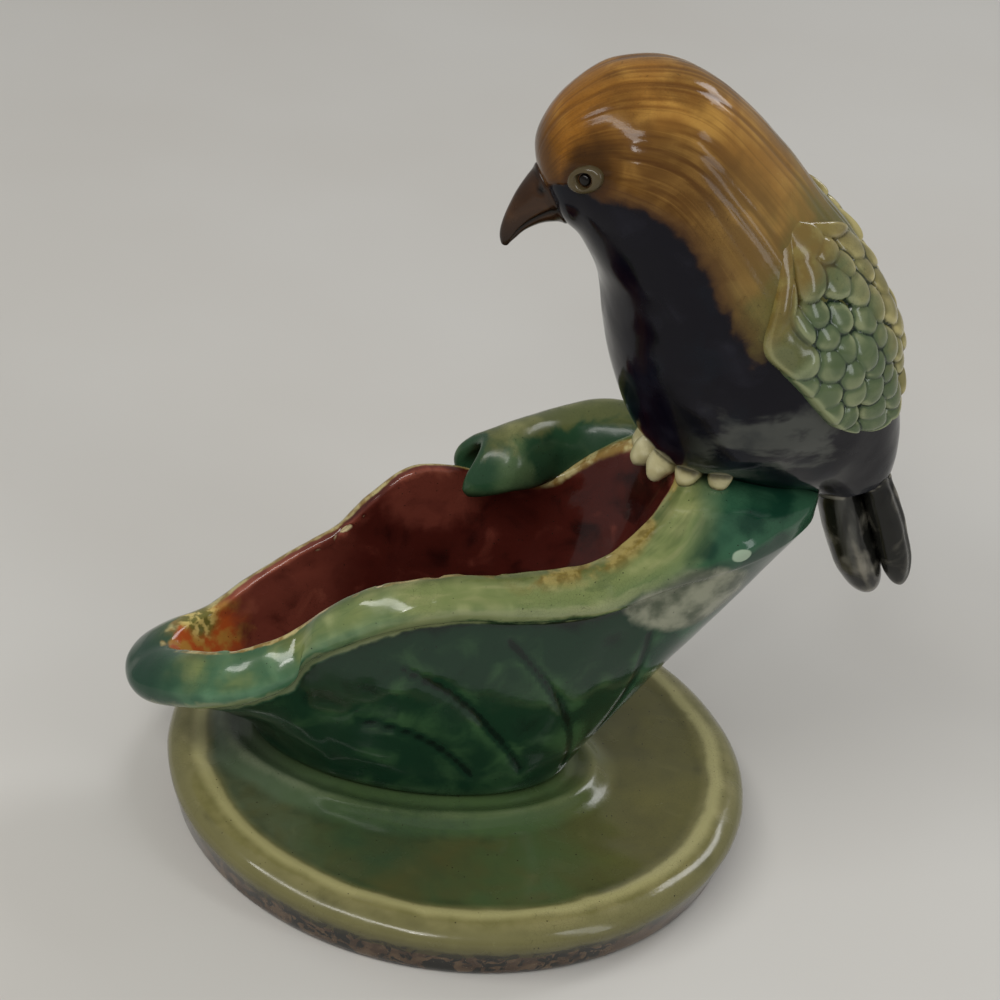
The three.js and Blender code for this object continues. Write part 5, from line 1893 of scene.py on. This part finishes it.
class MAJOLICA_OT_toes(bpy.types.Operator):
    """Builds the toes that grip the stalk"""

    bl_idname = "majolica.toes"
    bl_label = "Toes"

    def execute(self, context):
        material = toe_glaze()
        for seed, name in enumerate(TOES, 31):
            piece = build_toe(name, seed)
            fill_joints(piece, ["leaf_bowl_glazed", "bird_body_glazed"], 0.0)
            mark_hollows(piece, 6)
            settle(piece, material, "toe_glaze", name)
        return {"FINISHED"}


class MAJOLICA_OT_tail(bpy.types.Operator):
    """Builds the tail's three feathers"""

    bl_idname = "majolica.tail"
    bl_label = "Tail"

    def execute(self, context):
        settings = context.scene.majolica_tail
        material = tail_glaze()
        depth = settings.groove_depth / MM
        feathers = [("tail_feather_under", TAIL_UNDER, 1, settings.under_grooves)]
        feathers += [("tail_feather_near", TAIL_UPPER, -1, settings.upper_grooves)]
        feathers += [("tail_feather_far", TAIL_UPPER, 1, settings.upper_grooves)]
        for name, row, side, grooves in feathers:
            piece = build_tail_feather(f"{name}_glazed", row, side, grooves, depth)
            fill_joints(piece, ["bird_body_glazed"])
            mark_hollows(piece)
            settle(piece, material, "black_glaze", name)
        return {"FINISHED"}


class MAJOLICA_OT_stage(bpy.types.Operator):
    """Builds the floor, the lights and the camera"""

    bl_idname = "majolica.stage"
    bl_label = "Stage"

    def execute(self, context):
        settings = context.scene.majolica_stage
        add_floor()
        add_world(settings.sky)
        add_lamp("Key", (-420, -320, 640), (900, 130), settings.key_power, (1.0, 0.98, 0.95))
        add_lamp("Fill", (560, -520, 420), (160, 620), settings.fill_power, (0.96, 0.98, 1.0))
        add_lamp("Rim", (520, 330, 560), (260, 260), settings.rim_power, (0.98, 0.98, 1.0))
        add_lamp("Sparkle", (-200, -575, 505), (60, 60), settings.sparkle_power, (1.0, 0.98, 0.96))
        add_camera()
        context.scene.view_settings.view_transform = "Standard"
        return {"FINISHED"}


OPERATORS = [
    MAJOLICA_OT_base,
    MAJOLICA_OT_leaf,
    MAJOLICA_OT_body,
    MAJOLICA_OT_wings,
    MAJOLICA_OT_eyes,
    MAJOLICA_OT_toes,
    MAJOLICA_OT_tail,
    MAJOLICA_OT_stage,
]


class MAJOLICA_PT_panel(bpy.types.Panel):
    """Lists the pieces in building order"""

    bl_idname = "MAJOLICA_PT_panel"
    bl_label = "Majolica"
    bl_space_type = "VIEW_3D"
    bl_region_type = "UI"
    bl_category = "Majolica"

    def draw(self, context):
        for operator in OPERATORS:
            self.layout.operator(operator.bl_idname)
        for name, group in SETTINGS.items():
            held = getattr(context.scene, name)
            for key in group.__annotations__:
                self.layout.prop(held, key)


def register():
    for name, group in SETTINGS.items():
        bpy.utils.register_class(group)
        setattr(bpy.types.Scene, name, bpy.props.PointerProperty(type=group))
    for operator in OPERATORS:
        bpy.utils.register_class(operator)
    bpy.utils.register_class(MAJOLICA_PT_panel)


def unregister():
    bpy.utils.unregister_class(MAJOLICA_PT_panel)
    for operator in reversed(OPERATORS):
        bpy.utils.unregister_class(operator)
    for name, group in SETTINGS.items():
        delattr(bpy.types.Scene, name)
        bpy.utils.unregister_class(group)


def main():
    """Builds every piece and the stage."""
    register()
    bpy.ops.majolica.base()
    bpy.ops.majolica.leaf()
    bpy.ops.majolica.body()
    bpy.ops.majolica.wings()
    bpy.ops.majolica.eyes()
    bpy.ops.majolica.toes()
    bpy.ops.majolica.tail()
    bpy.ops.majolica.stage()


if __name__ == "__main__":
    main()
